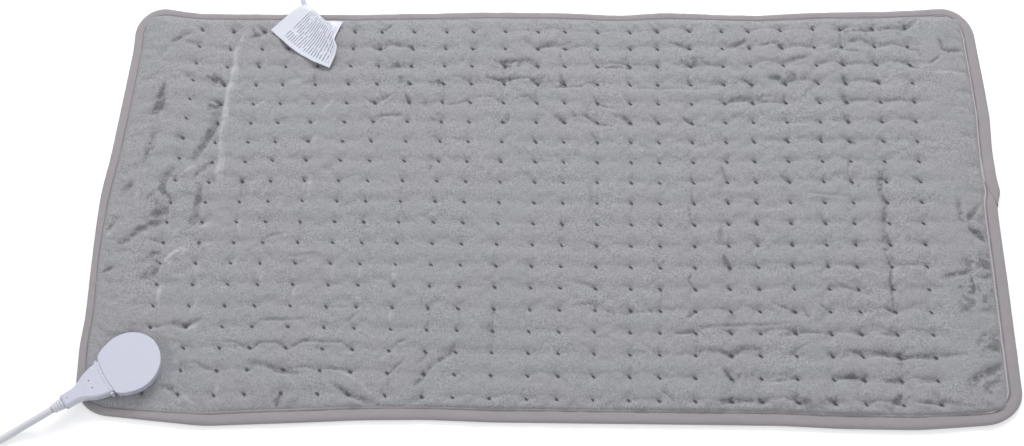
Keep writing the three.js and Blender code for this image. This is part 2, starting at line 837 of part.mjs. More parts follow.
function contactBlock() {
  const length = contactBlockEnd - contactBlockStart;
  const middle = (contactBlockStart + contactBlockEnd) / 2;
  const body = block(length, noseWidth, baseTop + gap, contactBlockTop, middle, 0);
  const bores = contactPlaces.map((across) => rodAlongX(
    contactPinDiameter / 2 + gap,
    contactBlockStart - overrun,
    contactBlockEnd + overrun,
    across,
    plugAxisHeight,
  ));
  return cut(body, ...bores);
}

function contactPins() {
  const start = contactBlockStart - contactPinDiameter;
  return contactPlaces.map((across) => (
    rodAlongX(contactPinDiameter / 2, start, pinReach, across, plugAxisHeight)));
}

const puck = puckFrame();
add('receptacle_backing_plate', backingPlate(), steel, puck);
add('receptacle_base', receptacleBase(), satinWhite, puck);
add('receptacle_housing', receptacleHousing(), glossWhite, puck);
addEach('receptacle_screw', receptacleScrews(), steel, puck);
add('receptacle_contact_block', contactBlock(), insulator, puck);
addEach('receptacle_pin', contactPins(), brass, puck);
const cutoutBottom = baseTop + gap;
const cutoutTop = cutoutBottom + cutoutHeight;
const cutoutBody = block(cutoutLength, cutoutWidth, cutoutBottom, cutoutTop, cutoutPlace, 0);
add('thermal_cutout', cutoutBody, insulator, puck);

// Plug: fan-shaped halves that narrow from the seam to a round neck
const plugStart = seamFront + gap;
const neckStart = plugStart + plugFanLength;
const plugEnd = neckStart + plugNeckLength;

function plugOutline(inset) {
  const front = seamHalfWidth - gap - inset;
  const neck = plugNeckWidth / 2 - inset;
  const seamCentre = seamArcCentre();
  const seamRadius = seamArcRadius + gap + inset;
  const lean = Math.asin(front / seamRadius);
  const corner = seamCentre + seamRadius * Math.cos(lean);
  const middle = corner + plugFanLength * plugShoulderShare;
  const shoulder = (front + neck) / 2;
  const outline = new THREE.Shape();
  outline.moveTo(plugEnd, neck);
  outline.lineTo(neckStart, neck);
  outline.quadraticCurveTo(middle + (neckStart - middle) / 2, neck, middle, shoulder);
  outline.quadraticCurveTo(corner + plugFanLength * plugWaistShare, front, corner, front);
  outline.absarc(seamCentre, 0, seamRadius, lean, -lean, true);
  outline.quadraticCurveTo(corner + plugFanLength * plugWaistShare, -front, middle, -shoulder);
  outline.quadraticCurveTo(middle + (neckStart - middle) / 2, -neck, neckStart, -neck);
  outline.lineTo(plugEnd, -neck);
  outline.closePath();
  return outline;
}

function plugShellBody() {
  const body = raise(plugOutline(0), plugBottom, puckTop, plugEdgeRadius, plugSteps);
  const earMiddle = plugStart + gripEarLength / 2;
  const earWidth = 2 * (seamHalfWidth - gap + gripEarReach);
  const earBottom = plugAxisHeight - gripEarHeight / 2;
  const ears = block(gripEarLength, earWidth, earBottom, earBottom + gripEarHeight, earMiddle, 0);
  const hollowEnd = neckStart - plugNeckWidth / 2;
  const hollow = raise(plugOutline(plugWall), plugBottom + plugWall, puckTop - plugWall, 0, plugSteps);
  const hollowRegion = block(
    hollowEnd - plugStart,
    4 * seamHalfWidth,
    plugBottom,
    puckTop,
    (plugStart + hollowEnd) / 2,
    0,
  );
  const boreRadius = plugReliefStubRadius + gap;
  const bore = rodAlongX(boreRadius, hollowEnd - overrun, plugEnd + overrun, 0, plugAxisHeight);
  const nosePassage = block(
    overrun * 2,
    noseWidth + 2 * gap,
    plugAxisHeight - noseHeight / 2 - gap,
    plugAxisHeight + noseHeight / 2 + gap,
    plugStart,
    0,
  );
  return cut(join(body, ears), keepInside(hollow, hollowRegion), bore, nosePassage);
}

function plugShell(bottom, top) {
  const half = block(4 * puckRadius, 4 * puckRadius, bottom, top, plugEnd, 0);
  return keepInside(plugShellBody(), half);
}

// Insulating nose that carries the spring sleeves into the socket
const noseBack = plugStart + plugWall + noseGrip;

function plugContactCarrier() {
  const bottom = plugAxisHeight - noseHeight / 2;
  const middle = (noseTip + noseBack) / 2;
  const nose = block(noseBack - noseTip, noseWidth, bottom, bottom + noseHeight, middle, 0);
  const bores = contactPlaces.map((across) => rodAlongX(
    contactSleeveDiameter / 2 + gap,
    noseTip - overrun,
    noseTip + gap * 2 + sleeveLength + gap,
    across,
    plugAxisHeight,
  ));
  return cut(nose, ...bores);
}

function plugContacts() {
  const start = noseTip + gap * 2;
  const end = start + sleeveLength;
  const bore = contactPinDiameter / 2 + gap;
  return contactPlaces.map((across) => cut(
    rodAlongX(contactSleeveDiameter / 2, start, end, across, plugAxisHeight),
    rodAlongX(bore, start - overrun, end - contactPinDiameter / 2, across, plugAxisHeight),
  ));
}

// Strain relief: a stub held in the plug's neck, then two ribs and a short taper
function plugStrainRelief() {
  const rib = plugNeckWidth / 2 - gap;
  const groove = rib - plugReliefGrooveDepth;
  const start = plugEnd + gap;
  const ribLength = plugReliefLength / 5;
  return turnedAlongX([
    [plugEnd - plugReliefStubLength, plugReliefStubRadius],
    [start, plugReliefStubRadius],
    [start, rib],
    [start + ribLength, rib],
    [start + ribLength, groove],
    [start + 2 * ribLength, groove],
    [start + 2 * ribLength, rib - slip],
    [start + 3 * ribLength, rib - slip * 2],
    [start + plugReliefLength, cordDiameter / 2 + plugReliefWall],
  ], plugAxisHeight);
}

const plug = puckFrame();
add('plug_upper_shell', plugShell(plugAxisHeight + gap / 2, puckTop + overrun), glossWhite, plug);
add('plug_lower_shell', plugShell(plugBottom - overrun, plugAxisHeight - gap / 2), glossWhite, plug);
add('plug_contact_carrier', plugContactCarrier(), insulator, plug);
addEach('plug_contact', plugContacts(), brass, plug);
add('plug_strain_relief', plugStrainRelief(), softWhite, plug);

// Cord on the floor: heights of its centre when it lies flat and on the second layer
const cordRadius = cordDiameter / 2;
const floorLevel = cordRadius + cordLift;
const upperLayerLevel = floorLevel + coilLayerRise;

// A neat coil: it spirals in on the floor, climbs a layer in the half turn where it
// reverses and spirals out on top, then ends in straight pieces one diameter long
function coilPoints(centreX, centreY, outerRadius, turns) {
  const startAngle = -Math.PI / 2;
  const steps = Math.round(turns * loopSteps);
  const points = [];
  for (let step = 0; step <= steps; step += 1) {
    const turnsDone = step / loopSteps;
    const fromMiddle = turnsDone - turns / 2;
    const radius = outerRadius - coilTurnPitch * (turns / 2 - Math.abs(fromMiddle));
    const climb = THREE.MathUtils.smoothstep(fromMiddle, -1 / 4, 1 / 4);
    const angle = startAngle - 2 * Math.PI * turnsDone;
    points.push(new THREE.Vector3(
      centreX + radius * Math.cos(angle),
      centreY + radius * Math.sin(angle),
      floorLevel + climb * coilLayerRise,
    ));
  }
  const endAngle = startAngle - 2 * Math.PI * turns;
  const startHeading = new THREE.Vector3(Math.sin(startAngle), -Math.cos(startAngle), 0);
  const endHeading = new THREE.Vector3(Math.sin(endAngle), -Math.cos(endAngle), 0);
  points.unshift(points[0].clone().addScaledVector(startHeading, -cordDiameter));
  points.push(points[points.length - 1].clone().addScaledVector(endHeading, cordDiameter));
  return points;
}

// The smallest gap between a coil and itself, more than half a turn apart
function leastGap(points) {
  let least = Infinity;
  for (let i = 0; i < points.length; i += 1) {
    for (let j = i + loopSteps / 2; j < points.length; j += 1) {
      least = Math.min(least, points[i].distanceTo(points[j]) - cordDiameter);
    }
  }
  return least;
}

function coil(name, points) {
  console.log(`${name}: least gap to itself ${leastGap(points).toFixed(2)} mm`);
  add(name, tube(points, cordRadius, loopSides), softWhite);
}

function curveThrough(route) {
  const points = route.map(([x, y, z]) => new THREE.Vector3(x, y, z));
  return new THREE.CatmullRomCurve3(points, false, 'centripetal');
}

function freeCord(name, route) {
  const curve = curveThrough(route);
  const section = new THREE.Shape();
  section.absarc(0, 0, cordRadius, 0, 2 * Math.PI, false);
  const steps = Math.max(4, Math.round(curve.getLength() / (2 * cordDiameter)));
  const geometry = new THREE.ExtrudeGeometry(section, {
    steps,
    curveSegments: cordSides,
    bevelEnabled: false,
    extrudePath: curve,
  });
  console.log(`${name}: ${curve.getLength().toFixed(1)} mm`);
  add(name, geometry, softWhite);
}

// Routes of the free stretches, chosen by hand. Each one starts and ends straight
const padLeadOutRoute = [
  [-434.65, -215.8, 12.6], [-439.5, -219.1, 12.4], [-446.8, -223.3, 10.7], [-454.2, -226.8, 8.1],
  [-461.5, -230.4, 5.9], [-469.5, -235, 4.3], [-479.2, -241, 3.5], [-491, -247.8, 3.4], [-506, -255.3, 3.4],
  [-522, -261.2, 3.4], [-534, -263.3, 3.4], [-543.1, -263.5, 3.4],
];
const padLeadInRoute = [
  [-591, -215.6, 10.6], [-591, -207, 10], [-591, -196, 7.4], [-591, -184, 7.2],
  [-591, -172, 10], [-591, -160.4, 11],
];
const mainsLeadInRoute = [
  [-591, 24.3, 11], [-591, 30, 10.7], [-591, 37.5, 8.2], [-591, 45.5, 5], [-591.3, 53, 3.7],
  [-593.6, 62.5, 3.4], [-599.3, 71.2, 3.4], [-607.6, 77.3, 3.4], [-616, 79.9, 3.4], [-623.1, 80, 3.4],
];
const mainsLeadOutRoute = [
  [-681, 137.9, 10.6], [-681, 141.5, 10.4], [-681, 145.8, 9.9], [-681, 149.4, 9.5],
];

freeCord('pad_lead_out', padLeadOutRoute);
coil('pad_lead_coil', coilPoints(padCoilX, padCoilY, padCoilRadius, padCoilTurns));
freeCord('pad_lead_in', padLeadInRoute);

// Hand controller, in its own group at the middle of its base
const controller = new THREE.Group();
controller.position.set(controllerX, controllerY, 0);
heatingPad.add(controller);
const caseCeiling = controllerHeight - controllerWall;
const boardTop = boardHeight + boardThickness;
const capTop = controllerHeight + buttonProud;
const flangeTop = caseCeiling - gap;
const switchBoreDepth = buttonTravel + 3 * gap;
const switchTop = boardTop + gap + switchHeight;
const caseScrewBore = caseScrewDiameter / 2 + gap;
const buttons = [
  { name: 'button_warmer', x: buttonPairSpacing / 2, y: buttonPairY, diameter: buttonDiameter },
  { name: 'button_cooler', x: -buttonPairSpacing / 2, y: buttonPairY, diameter: buttonDiameter },
  { name: 'button_timer', x: 0, y: timerButtonY, diameter: buttonDiameter },
  { name: 'button_power', x: 0, y: powerButtonY, diameter: powerButtonDiameter },
];
const caseScrewPlaces = [];
for (const sideX of [-1, 1]) {
  for (const sideY of [-1, 1]) {
    const x = sideX * (controllerWidth / 2 - screwInsetX);
    const y = sideY * (controllerLength / 2 - screwInsetY);
    caseScrewPlaces.push([x, y]);
  }
}

function controllerBody(inset, bottom, top, edgeRadius) {
  const width = controllerWidth - 2 * inset;
  const length = controllerLength - 2 * inset;
  const plate = roundedPlate(width, length, controllerCornerRadius - inset);
  return raise(plate, bottom, top, edgeRadius);
}

function controllerShell(bottom, top) {
  const body = controllerBody(0, 0, controllerHeight, controllerEdgeRadius);
  const hollow = controllerBody(controllerWall, controllerWall, caseCeiling, 0);
  const hole = new THREE.CylinderGeometry(
    reliefNeckRadius + gap,
    reliefNeckRadius + gap,
    controllerLength + overrun,
    smallRoundSteps,
  ).translate(0, 0, controllerSplit);
  const region = block(2 * controllerWidth, 2 * controllerLength, bottom, top);
  return keepInside(cut(body, hollow, hole), region);
}

function lowerShell() {
  const shell = controllerShell(-overrun, controllerSplit - gap / 2);
  const postRadius = caseBossRadius + controllerWall / 2;
  const headBore = caseScrewHeadRadius + gap;
  const posts = caseScrewPlaces.map(([x, y]) => (
    disc(postRadius, controllerWall / 2, boardHeight - slip, x, y, smallRoundSteps)));
  const heads = caseScrewPlaces.map(([x, y]) => (
    disc(headBore, -overrun, caseScrewHeadHeight + gap * 2, x, y, smallRoundSteps)));
  const shanks = caseScrewPlaces.map(([x, y]) => (
    disc(caseScrewBore, -overrun, boardHeight + overrun, x, y, screwSteps)));
  return cut(join(shell, ...posts), ...heads, ...shanks);
}

function upperShell() {
  const shell = controllerShell(controllerSplit + gap / 2, controllerHeight + overrun);
  const posts = caseScrewPlaces.map(([x, y]) => (
    disc(caseBossRadius, boardTop + slip, caseCeiling + controllerWall / 2, x, y, smallRoundSteps)));
  const pilots = caseScrewPlaces.map(([x, y]) => (
    disc(caseScrewBore, boardTop - overrun, caseCeiling - controllerWall / 2, x, y, screwSteps)));
  const buttonHoles = buttons.map(({ x, y, diameter }) => (
    disc(diameter / 2 + gap, caseCeiling - overrun, controllerHeight + overrun, x, y, capSteps)));
  const windowHole = block(
    windowWidth + 2 * gap,
    windowLength + 2 * gap,
    caseCeiling - controllerWall / 2,
    controllerHeight + overrun,
    0,
    windowY,
  );
  return cut(join(shell, ...posts), ...pilots, ...buttonHoles, windowHole);
}

function controllerBoard() {
  const inset = controllerWall + boardMargin;
  const plate = controllerBody(inset, boardHeight, boardTop, 0);
  const holes = caseScrewPlaces.map(([x, y]) => (
    disc(caseScrewBore, boardHeight - overrun, boardTop + overrun, x, y, screwSteps)));
  return cut(plate, ...holes);
}

function displayWindow() {
  const lens = block(windowWidth, windowLength, flangeTop - gap, controllerHeight, 0, windowY);
  const flangeWidth = windowWidth + 2 * windowFlangeReach;
  const flangeLength = windowLength + 2 * windowFlangeReach;
  const flangeBottom = flangeTop - windowFlangeThickness;
  const flange = block(flangeWidth, flangeLength, flangeBottom, flangeTop, 0, windowY);
  return join(lens, flange);
}

function displayModule() {
  const width = windowWidth - 2 * windowFlangeReach;
  const length = windowLength - 2 * windowFlangeReach;
  const top = flangeTop - windowFlangeThickness - gap;
  return block(width, length, boardTop + gap, top, 0, windowY);
}

function button({ x, y, diameter }) {
  const radius = diameter / 2;
  const flangeBottom = flangeTop - buttonFlangeThickness;
  const cap = disc(radius, flangeBottom, capTop - buttonEdge, x, y, capSteps);
  const crown = disc(radius - buttonEdge, capTop - buttonEdge - slip, capTop, x, y, capSteps);
  const flange = disc(radius + buttonFlangeReach, flangeBottom, flangeTop, x, y, capSteps);
  const stem = disc(buttonStemRadius, switchTop - gap, flangeBottom + slip, x, y, screwSteps);
  return join(cap, crown, flange, stem);
}

function buttonSwitches() {
  const boreRadius = buttonStemRadius + gap;
  return buttons.map(({ x, y }) => cut(
    block(switchSize, switchSize, boardTop + gap, switchTop, x, y),
    disc(boreRadius, switchTop - switchBoreDepth, switchTop + overrun, x, y, screwSteps),
  ));
}

function caseScrews() {
  return caseScrewPlaces.map(([x, y]) => join(
    disc(caseScrewHeadRadius, gap, gap + caseScrewHeadHeight, x, y, smallRoundSteps),
    disc(caseScrewDiameter / 2, caseScrewHeadHeight, caseCeiling - controllerWall, x, y, screwSteps),
  ));
}

// A tapered cord guard: a grip inside the case wall, a neck through it and a long taper
function controllerRelief(towards) {
  const wallInside = controllerLength / 2 - controllerWall;
  const wallOutside = controllerLength / 2;
  const geometry = turnedAlongX([
    [wallInside - gap - reliefGripLength, reliefGripRadius],
    [wallInside - gap, reliefGripRadius],
    [wallInside - gap, reliefNeckRadius],
    [wallOutside + gap, reliefNeckRadius],
    [wallOutside + gap, reliefOuterRadius],
    [wallOutside + controllerReliefLength, cordRadius + reliefTipWall],
  ], controllerSplit);
  return geometry.rotateZ(towards * Math.PI / 2);
}

const relayY = controllerLength / 2 - boardEndSetback;
const fuseY = -controllerLength / 2 + boardEndSetback;

add('controller_lower_shell', lowerShell(), glossWhite, controller);
add('controller_upper_shell', upperShell(), glossWhite, controller);
add('controller_board', controllerBoard(), board, controller);
addEach('controller_screw', caseScrews(), steel, controller);
add('display_window', displayWindow(), smoked, controller);
add('display_module', displayModule(), insulator, controller);
addEach('button_switch', buttonSwitches(), insulator, controller);
for (const spec of buttons) add(spec.name, button(spec), buttonGrey, controller);
const relayBottom = boardTop + gap;
const relayBody = block(relayWidth, relayDepth, relayBottom, relayBottom + relayHeight, 0, relayY);
add('heater_relay', relayBody, relayBlue, controller);
const fuse = rodAlongX(fuseRadius, -fuseLength / 2, fuseLength / 2, fuseY, boardTop + gap + fuseRadius);
add('mains_fuse', fuse, steel, controller);
add('controller_pad_relief', controllerRelief(-1), softWhite, controller);
add('controller_mains_relief', controllerRelief(1), softWhite, controller);

// Mains lead and its plug, which lies beside the coil
freeCord('mains_lead_in', mainsLeadInRoute);
coil('mains_lead_coil', coilPoints(mainsCoilX, mainsCoilY, mainsCoilRadius, mainsCoilTurns));
freeCord('mains_lead_out', mainsLeadOutRoute);

const mainsPlug = new THREE.Group();
mainsPlug.position.set(mainsPlugX, mainsPlugY, 0);
heatingPad.add(mainsPlug);
const plugHeart = mainsPlugThickness / 2;

function mainsPlugBody() {
  const outline = roundedPlate(mainsPlugWidth, mainsPlugThickness, mainsPlugEdgeRadius);
  const body = raise(outline, 0, mainsPlugLength, mainsPlugFaceEdge);
  body.rotateX(-Math.PI / 2).translate(0, 0, plugHeart);
  const bore = turnedAlongX([
    [-overrun, reliefNeckRadius + gap],
    [mainsStubLength + gap, reliefNeckRadius + gap],
  ], plugHeart).rotateZ(Math.PI / 2);
  const slots = bladeShapes(mainsPlugLength - mainsStubLength - gap, mainsPlugLength + overrun, gap);
  return cut(body, bore, ...slots);
}

function bladeShapes(start, end, margin) {
  return [-1, 1].map((side) => {
    const blade = new THREE.BoxGeometry(bladeThickness + 2 * margin, end - start, bladeWidth + 2 * margin);
    return blade.translate(side * bladeSpacing / 2, (start + end) / 2, plugHeart);
  });
}

function mainsPlugRelief() {
  const geometry = turnedAlongX([
    [-mainsReliefLength, cordRadius + reliefTipWall],
    [-gap, reliefOuterRadius],
    [-gap, reliefNeckRadius],
    [mainsStubLength, reliefNeckRadius],
  ], plugHeart);
  return geometry.rotateZ(Math.PI / 2);
}

add('mains_plug_body', mainsPlugBody(), softWhite, mainsPlug);
const bladeBack = mainsPlugLength - mainsStubLength;
addEach('mains_plug_blade', bladeShapes(bladeBack, mainsPlugLength + bladeLength, 0), brass, mainsPlug);
add('mains_plug_relief', mainsPlugRelief(), softWhite, mainsPlug);

export default heatingPad;
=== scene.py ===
"""Builds a quilted plush heating pad with its plug-in lead and hand controller."""
import itertools
import json
import math

import bmesh
import bpy
import numpy as np
from bpy.props import FloatProperty, FloatVectorProperty, PointerProperty
from mathutils import Matrix, Vector


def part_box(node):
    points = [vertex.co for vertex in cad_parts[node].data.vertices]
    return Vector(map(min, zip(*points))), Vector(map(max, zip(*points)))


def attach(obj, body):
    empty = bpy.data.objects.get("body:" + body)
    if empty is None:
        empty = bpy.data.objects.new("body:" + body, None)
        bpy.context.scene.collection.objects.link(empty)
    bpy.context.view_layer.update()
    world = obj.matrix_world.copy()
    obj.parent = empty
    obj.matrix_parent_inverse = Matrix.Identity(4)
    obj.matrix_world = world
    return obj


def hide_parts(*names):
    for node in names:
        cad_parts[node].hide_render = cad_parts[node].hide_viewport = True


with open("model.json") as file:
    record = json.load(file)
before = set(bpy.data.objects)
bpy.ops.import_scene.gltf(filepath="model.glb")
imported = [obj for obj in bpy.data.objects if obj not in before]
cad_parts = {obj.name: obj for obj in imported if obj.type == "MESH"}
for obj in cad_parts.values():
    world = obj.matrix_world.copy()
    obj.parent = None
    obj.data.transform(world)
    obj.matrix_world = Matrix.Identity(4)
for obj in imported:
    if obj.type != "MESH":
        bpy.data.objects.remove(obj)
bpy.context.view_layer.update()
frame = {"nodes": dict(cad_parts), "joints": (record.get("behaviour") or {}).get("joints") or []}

bl_info = {
    "name": "Heating pad with controller",
    "version": (1, 0, 0),
    "blender": (4, 5, 0),
    "location": "View3D > Sidebar > Heating Pad",
    "description": "Builds a quilted plush heating pad with its lead and hand controller",
    "category": "Object",
}

UP = Vector((0.0, 0.0, 1.0))
UNIT = 0.001
NEAR_ZERO = 1e-6
TOUCH_GAP = 0.0003


def middle_of(node):
    """The middle of a node's box."""
    low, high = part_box(node)
    return (low + high) / 2


# Places that come from the frame
PAD_LOW, PAD_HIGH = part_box("edge_binding")
PAD_WIDTH = PAD_HIGH.x - PAD_LOW.x
PAD_DEPTH = PAD_HIGH.y - PAD_LOW.y
BINDING_TOP = PAD_HIGH.z
SEAT_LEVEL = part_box("receptacle_base")[0].z - TOUCH_GAP
PLUG_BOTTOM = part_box("plug_lower_shell")[0].z
PLUG_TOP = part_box("plug_upper_shell")[1].z
PULL = next(joint for joint in frame["joints"] if joint["name"] == "plug_pull")
PUCK_CENTRE = middle_of("receptacle_backing_plate")
PLUG_ANGLE = math.atan2(PULL["axis"][1], PULL["axis"][0])
PUCK_PLACE = Matrix.Translation((PUCK_CENTRE.x, PUCK_CENTRE.y, 0)) @ Matrix.Rotation(PLUG_ANGLE, 4, "Z")
CASE_LOW, CASE_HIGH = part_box("controller_lower_shell")
CASE_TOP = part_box("controller_upper_shell")[1].z
CASE_CENTRE = (CASE_LOW + CASE_HIGH) / 2
CASE_PLACE = Matrix.Translation((CASE_CENTRE.x, CASE_CENTRE.y, 0))
MAINS_LOW, MAINS_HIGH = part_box("mains_plug_body")
MAINS_CENTRE = (MAINS_LOW + MAINS_HIGH) / 2

# Quilting, in metres
COLUMN_PITCHES = (0.0326, 0.0326, 0.0272)
ROW_PITCH = 0.0214
LEFT_INSET = 0.0615
RIGHT_INSET = 0.060
NEAR_INSET = 0.0208
FAR_INSET = 0.023
CORNER_RADIUS = 0.032
TAPE_WIDTH = 0.0105
STITCH_INSET = 0.0088


def colour(red, green, blue):
    """A colour given as 0 to 255 screen values, as the linear values that shaders use."""
    shares = [value / 255 for value in (red, green, blue)]
    return tuple(s / 12.92 if s <= 0.04045 else ((s + 0.055) / 1.055) ** 2.4 for s in shares)


def size(name, default, description):
    """A length that a user can change."""
    return FloatProperty(
        name=name, default=default, description=description, unit="LENGTH", min=0.0001, precision=4
    )


def tint(name, default, description):
    """A colour that a user can change."""
    return FloatVectorProperty(
        name=name, default=default, description=description, subtype="COLOR", size=3, min=0, max=1
    )


class PadSettings(bpy.types.PropertyGroup):
    """Sizes and colours of the quilted pad, its tape and its label."""

    cloth_cell: size("Cloth cell", 0.0054, "Edge of one cell of the simulated cover")
    puff_height: size("Puff height", 0.0034, "How far the puffs rise over the tacks")
    tack_length: size("Tack length", 0.0036, "Length of each bar tack")
    tack_width: size("Tack width", 0.0014, "Width of each bar tack")
    stitch_length: size("Stitch length", 0.0030, "Pitch of the stitches in the tape")
    label_width: size("Label width", 0.042, "Flat width of the care label")
    label_length: size("Label length", 0.075, "Flat length of the care label")
    plush: tint("Plush", colour(160, 160, 164), "Colour of the pile")
    tape: tint("Tape", colour(165, 159, 163), "Colour of the binding tape")
    thread: tint("Thread", colour(78, 75, 80), "Colour of the tacks")
    satin: tint("Satin", colour(222, 225, 236), "Colour of the care label")


class LeadSettings(bpy.types.PropertyGroup):
    """Sizes and colours of the leads, the plugs and the controller."""

    cord_diameter: size("Cord diameter", 0.0066, "Diameter of both leads")
    turn_pitch: size("Turn pitch", 0.0073, "Distance between turns of a coil")
    shell_edge: size("Shell edge", 0.0016, "Rounding of the plug's and puck's edges")
    case_edge: size("Case edge", 0.0026, "Rounding of the controller's edges")
    shell: tint("Gloss shell", colour(211, 213, 228), "Colour of puck, plug and controller")
    jacket: tint("Cord jacket", colour(224, 225, 231), "Colour of the leads")
    button: tint("Buttons", colour(186, 189, 197), "Colour of the button caps")
    mark: tint("Marks", colour(74, 78, 88), "Colour of the signs on the buttons")


# Finishes


class Nodes:
    """Short ways to add nodes to a node tree."""

    def __init__(self, tree):
        self.tree = tree

    def feed(self, socket, value):
        """Links a socket, or sets it to a number, a vector or a colour."""
        if isinstance(value, bpy.types.NodeSocket):
            self.tree.links.new(value, socket)
        elif socket.type == "RGBA":
            socket.default_value = (*value, 1)
        else:
            socket.default_value = value

    def add(self, kind, feeds, **settings):
        """The outputs of a new node, given its settings and what feeds its sockets."""
        node = self.tree.nodes.new(kind)
        for key, value in settings.items():
            setattr(node, key, value)
        for socket, value in feeds.items():
            self.feed(node.inputs[socket], value)
        return node.outputs

    def maths(self, operation, first, second):
        return self.add("ShaderNodeMath", {0: first, 1: second}, operation=operation)[0]


class Finish(Nodes):
    """A material with one Principled shader."""

    def __init__(self, name, base, roughness, **sockets):
        self.material = bpy.data.materials.new(name)
        self.material.use_nodes = True
        self.material.diffuse_color = (*base, 1)
        super().__init__(self.material.node_tree)
        self.shader = self.tree.nodes["Principled BSDF"].inputs
        self.paint(base)
        self.roughen(roughness)
        for socket, value in sockets.items():
            self.shader[socket.replace("_", " ")].default_value = value

    def place(self, stretch=(1, 1, 1), uv=None, turn=0.0):
        """Coordinates for a pattern: the object's own, or a named UV map."""
        if uv:
            source = self.add("ShaderNodeUVMap", {}, uv_map=uv)["UV"]
        else:
            source = self.add("ShaderNodeTexCoord", {})["Object"]
        feeds = {"Vector": source, "Scale": stretch, "Rotation": (0, 0, turn)}
        return self.add("ShaderNodeMapping", feeds)["Vector"]

    def noise(self, scale, detail=3.0, rough=0.55, at=None):
        feeds = {"Scale": scale, "Detail": detail, "Roughness": rough, "Vector": at or self.place()}
        return self.add("ShaderNodeTexNoise", feeds)["Fac"]

    def wave(self, scale, at, distortion=0.0, direction="X"):
        feeds = {"Scale": scale, "Distortion": distortion, "Vector": at}
        return self.add("ShaderNodeTexWave", feeds, bands_direction=direction)["Fac"]

    def steps(self, value, low, high, from_value=0.0, to_value=1.0):
        """value mapped smoothly from low..high to from_value..to_value."""
        feeds = {"Value": value, "From Min": low, "From Max": high, "To Min": from_value, "To Max": to_value}
        return self.add("ShaderNodeMapRange", feeds, interpolation_type="SMOOTHSTEP")["Result"]

    def attribute(self, name):
        return self.add("ShaderNodeAttribute", {}, attribute_name=name)["Fac"]

    def mix(self, factor, first, second):
        """A mix of two colours, whose sockets on the node are 6 and 7."""
        return self.add("ShaderNodeMix", {0: factor, 6: first, 7: second}, data_type="RGBA")[2]

    def paint(self, result):
        self.feed(self.shader["Base Color"], result)

    def roughen(self, result):
        self.feed(self.shader["Roughness"], result)

    def bump(self, height, distance, strength=1.0):
        """Adds relief to what the shader already has."""
        feeds = {"Height": height, "Distance": distance, "Strength": strength}
        normal = self.shader["Normal"]
        if normal.is_linked:
            feeds["Normal"] = normal.links[0].from_socket
        self.feed(normal, self.add("ShaderNodeBump", feeds)["Normal"])


def scaled(base, factor):
    """A lighter or darker shade of a colour."""
    return tuple(min(1.0, value * factor) for value in base)


def tinted(base, red, green, blue):
    """A colour with each channel scaled by its own factor."""
    return tuple(min(1.0, value * factor) for value, factor in zip(base, (red, green, blue)))


def plush_finish(name, base):
    """Short velvet pile: drifting tint, brushed patches, fine fibre grain and a soft sheen, lightened and
    darkened by the painted highlights and painted shade that the pile attribute carries.
    """
    finish = Finish(name, base, 0.92, Sheen_Weight=0.22, Sheen_Roughness=0.45, Specular_IOR_Level=0.2)
    drift = finish.steps(finish.noise(9.0, 2.0), 0.35, 0.65)
    ground = finish.mix(drift, tinted(base, 0.985, 1.02, 1.01), tinted(base, 1.02, 0.985, 1.005))
    clumps = finish.steps(finish.noise(380.0, 3.0, 0.7), 0.35, 0.68)
    ground = finish.mix(0.30, ground, finish.mix(clumps, scaled(base, 0.90), scaled(base, 1.12)))
    patches = finish.steps(finish.noise(26.0, 5.0, 0.7), 0.42, 0.68)
    grain = finish.steps(finish.noise(640.0, 2.0, 0.8), 0.36, 0.64)
    depth = finish.maths("ADD", finish.maths("MULTIPLY", patches, 0.50), 0.42)
    ground = finish.mix(depth, ground, finish.mix(grain, scaled(base, 0.73), scaled(base, 1.29)))
    # The pile attribute holds painted shade where it is above 0 and painted highlight where it is below 0.
    pile = finish.attribute("pile")
    light = finish.steps(finish.maths("MULTIPLY", pile, -1.0), 0.0, 1.0)
    ground = finish.mix(light, ground, scaled(base, 1.45))
    fibres = finish.steps(finish.noise(820.0, 2.0, 0.8), 0.30, 0.70)
    dark = finish.steps(finish.maths("ADD", pile, finish.maths("MULTIPLY", fibres, 0.34)), 0.26, 1.16)
    finish.paint(finish.mix(dark, ground, scaled(base, 0.34)))
    finish.bump(finish.noise(900.0, 3.0, 0.7), 0.0005, 0.6)
    finish.bump(finish.noise(260.0, 4.0, 0.6), 0.0011, 0.5)
    return finish.material


def tape_finish(base):
    """Woven tape: fine ribs across it, a painted highlight on its lip and painted shade in its stitching
    groove, and a slight random change of tone.
    """
    finish = Finish("binding_tape", base, 0.82, Sheen_Weight=0.12, Sheen_Roughness=0.5)
    along = finish.place(uv="tape")
    ribs = finish.wave(1000.0, along, 0.6)
    threads = finish.wave(700.0, along, 1.0, "Y")
    drift = finish.noise(30.0, 3.0)
    shade = finish.mix(drift, scaled(base, 0.93), scaled(base, 1.07))
    woven = finish.mix(ribs, scaled(base, 0.90), scaled(base, 1.06))
    ground = finish.mix(0.4, shade, woven)
    # Painted highlight on the tape's lip, where the groove attribute is below 0.
    lip = finish.steps(finish.maths("MULTIPLY", finish.attribute("groove"), -1.0), 0.0, 1.0)
    ground = finish.mix(lip, ground, scaled(base, 1.5))
    # Painted shade in the stitching groove, where the groove attribute is above 0.
    groove = finish.steps(finish.attribute("groove"), 0.0, 1.0)
    finish.paint(finish.mix(groove, ground, scaled(base, 0.84)))
    finish.bump(finish.maths("ADD", ribs, threads), 0.00022, 0.4)
    finish.bump(finish.noise(160.0, 3.0), 0.0006, 0.35)
    return finish.material


def thread_finish(name, base):
    """Twisted sewing thread."""
    finish = Finish(name, base, 0.7, Sheen_Weight=0.2)
    twist = finish.wave(2600.0, finish.place(turn=0.6), 1.5)
    finish.paint(finish.mix(twist, scaled(base, 0.75), scaled(base, 1.15)))
    finish.bump(twist, 0.0002, 0.5)
    return finish.material


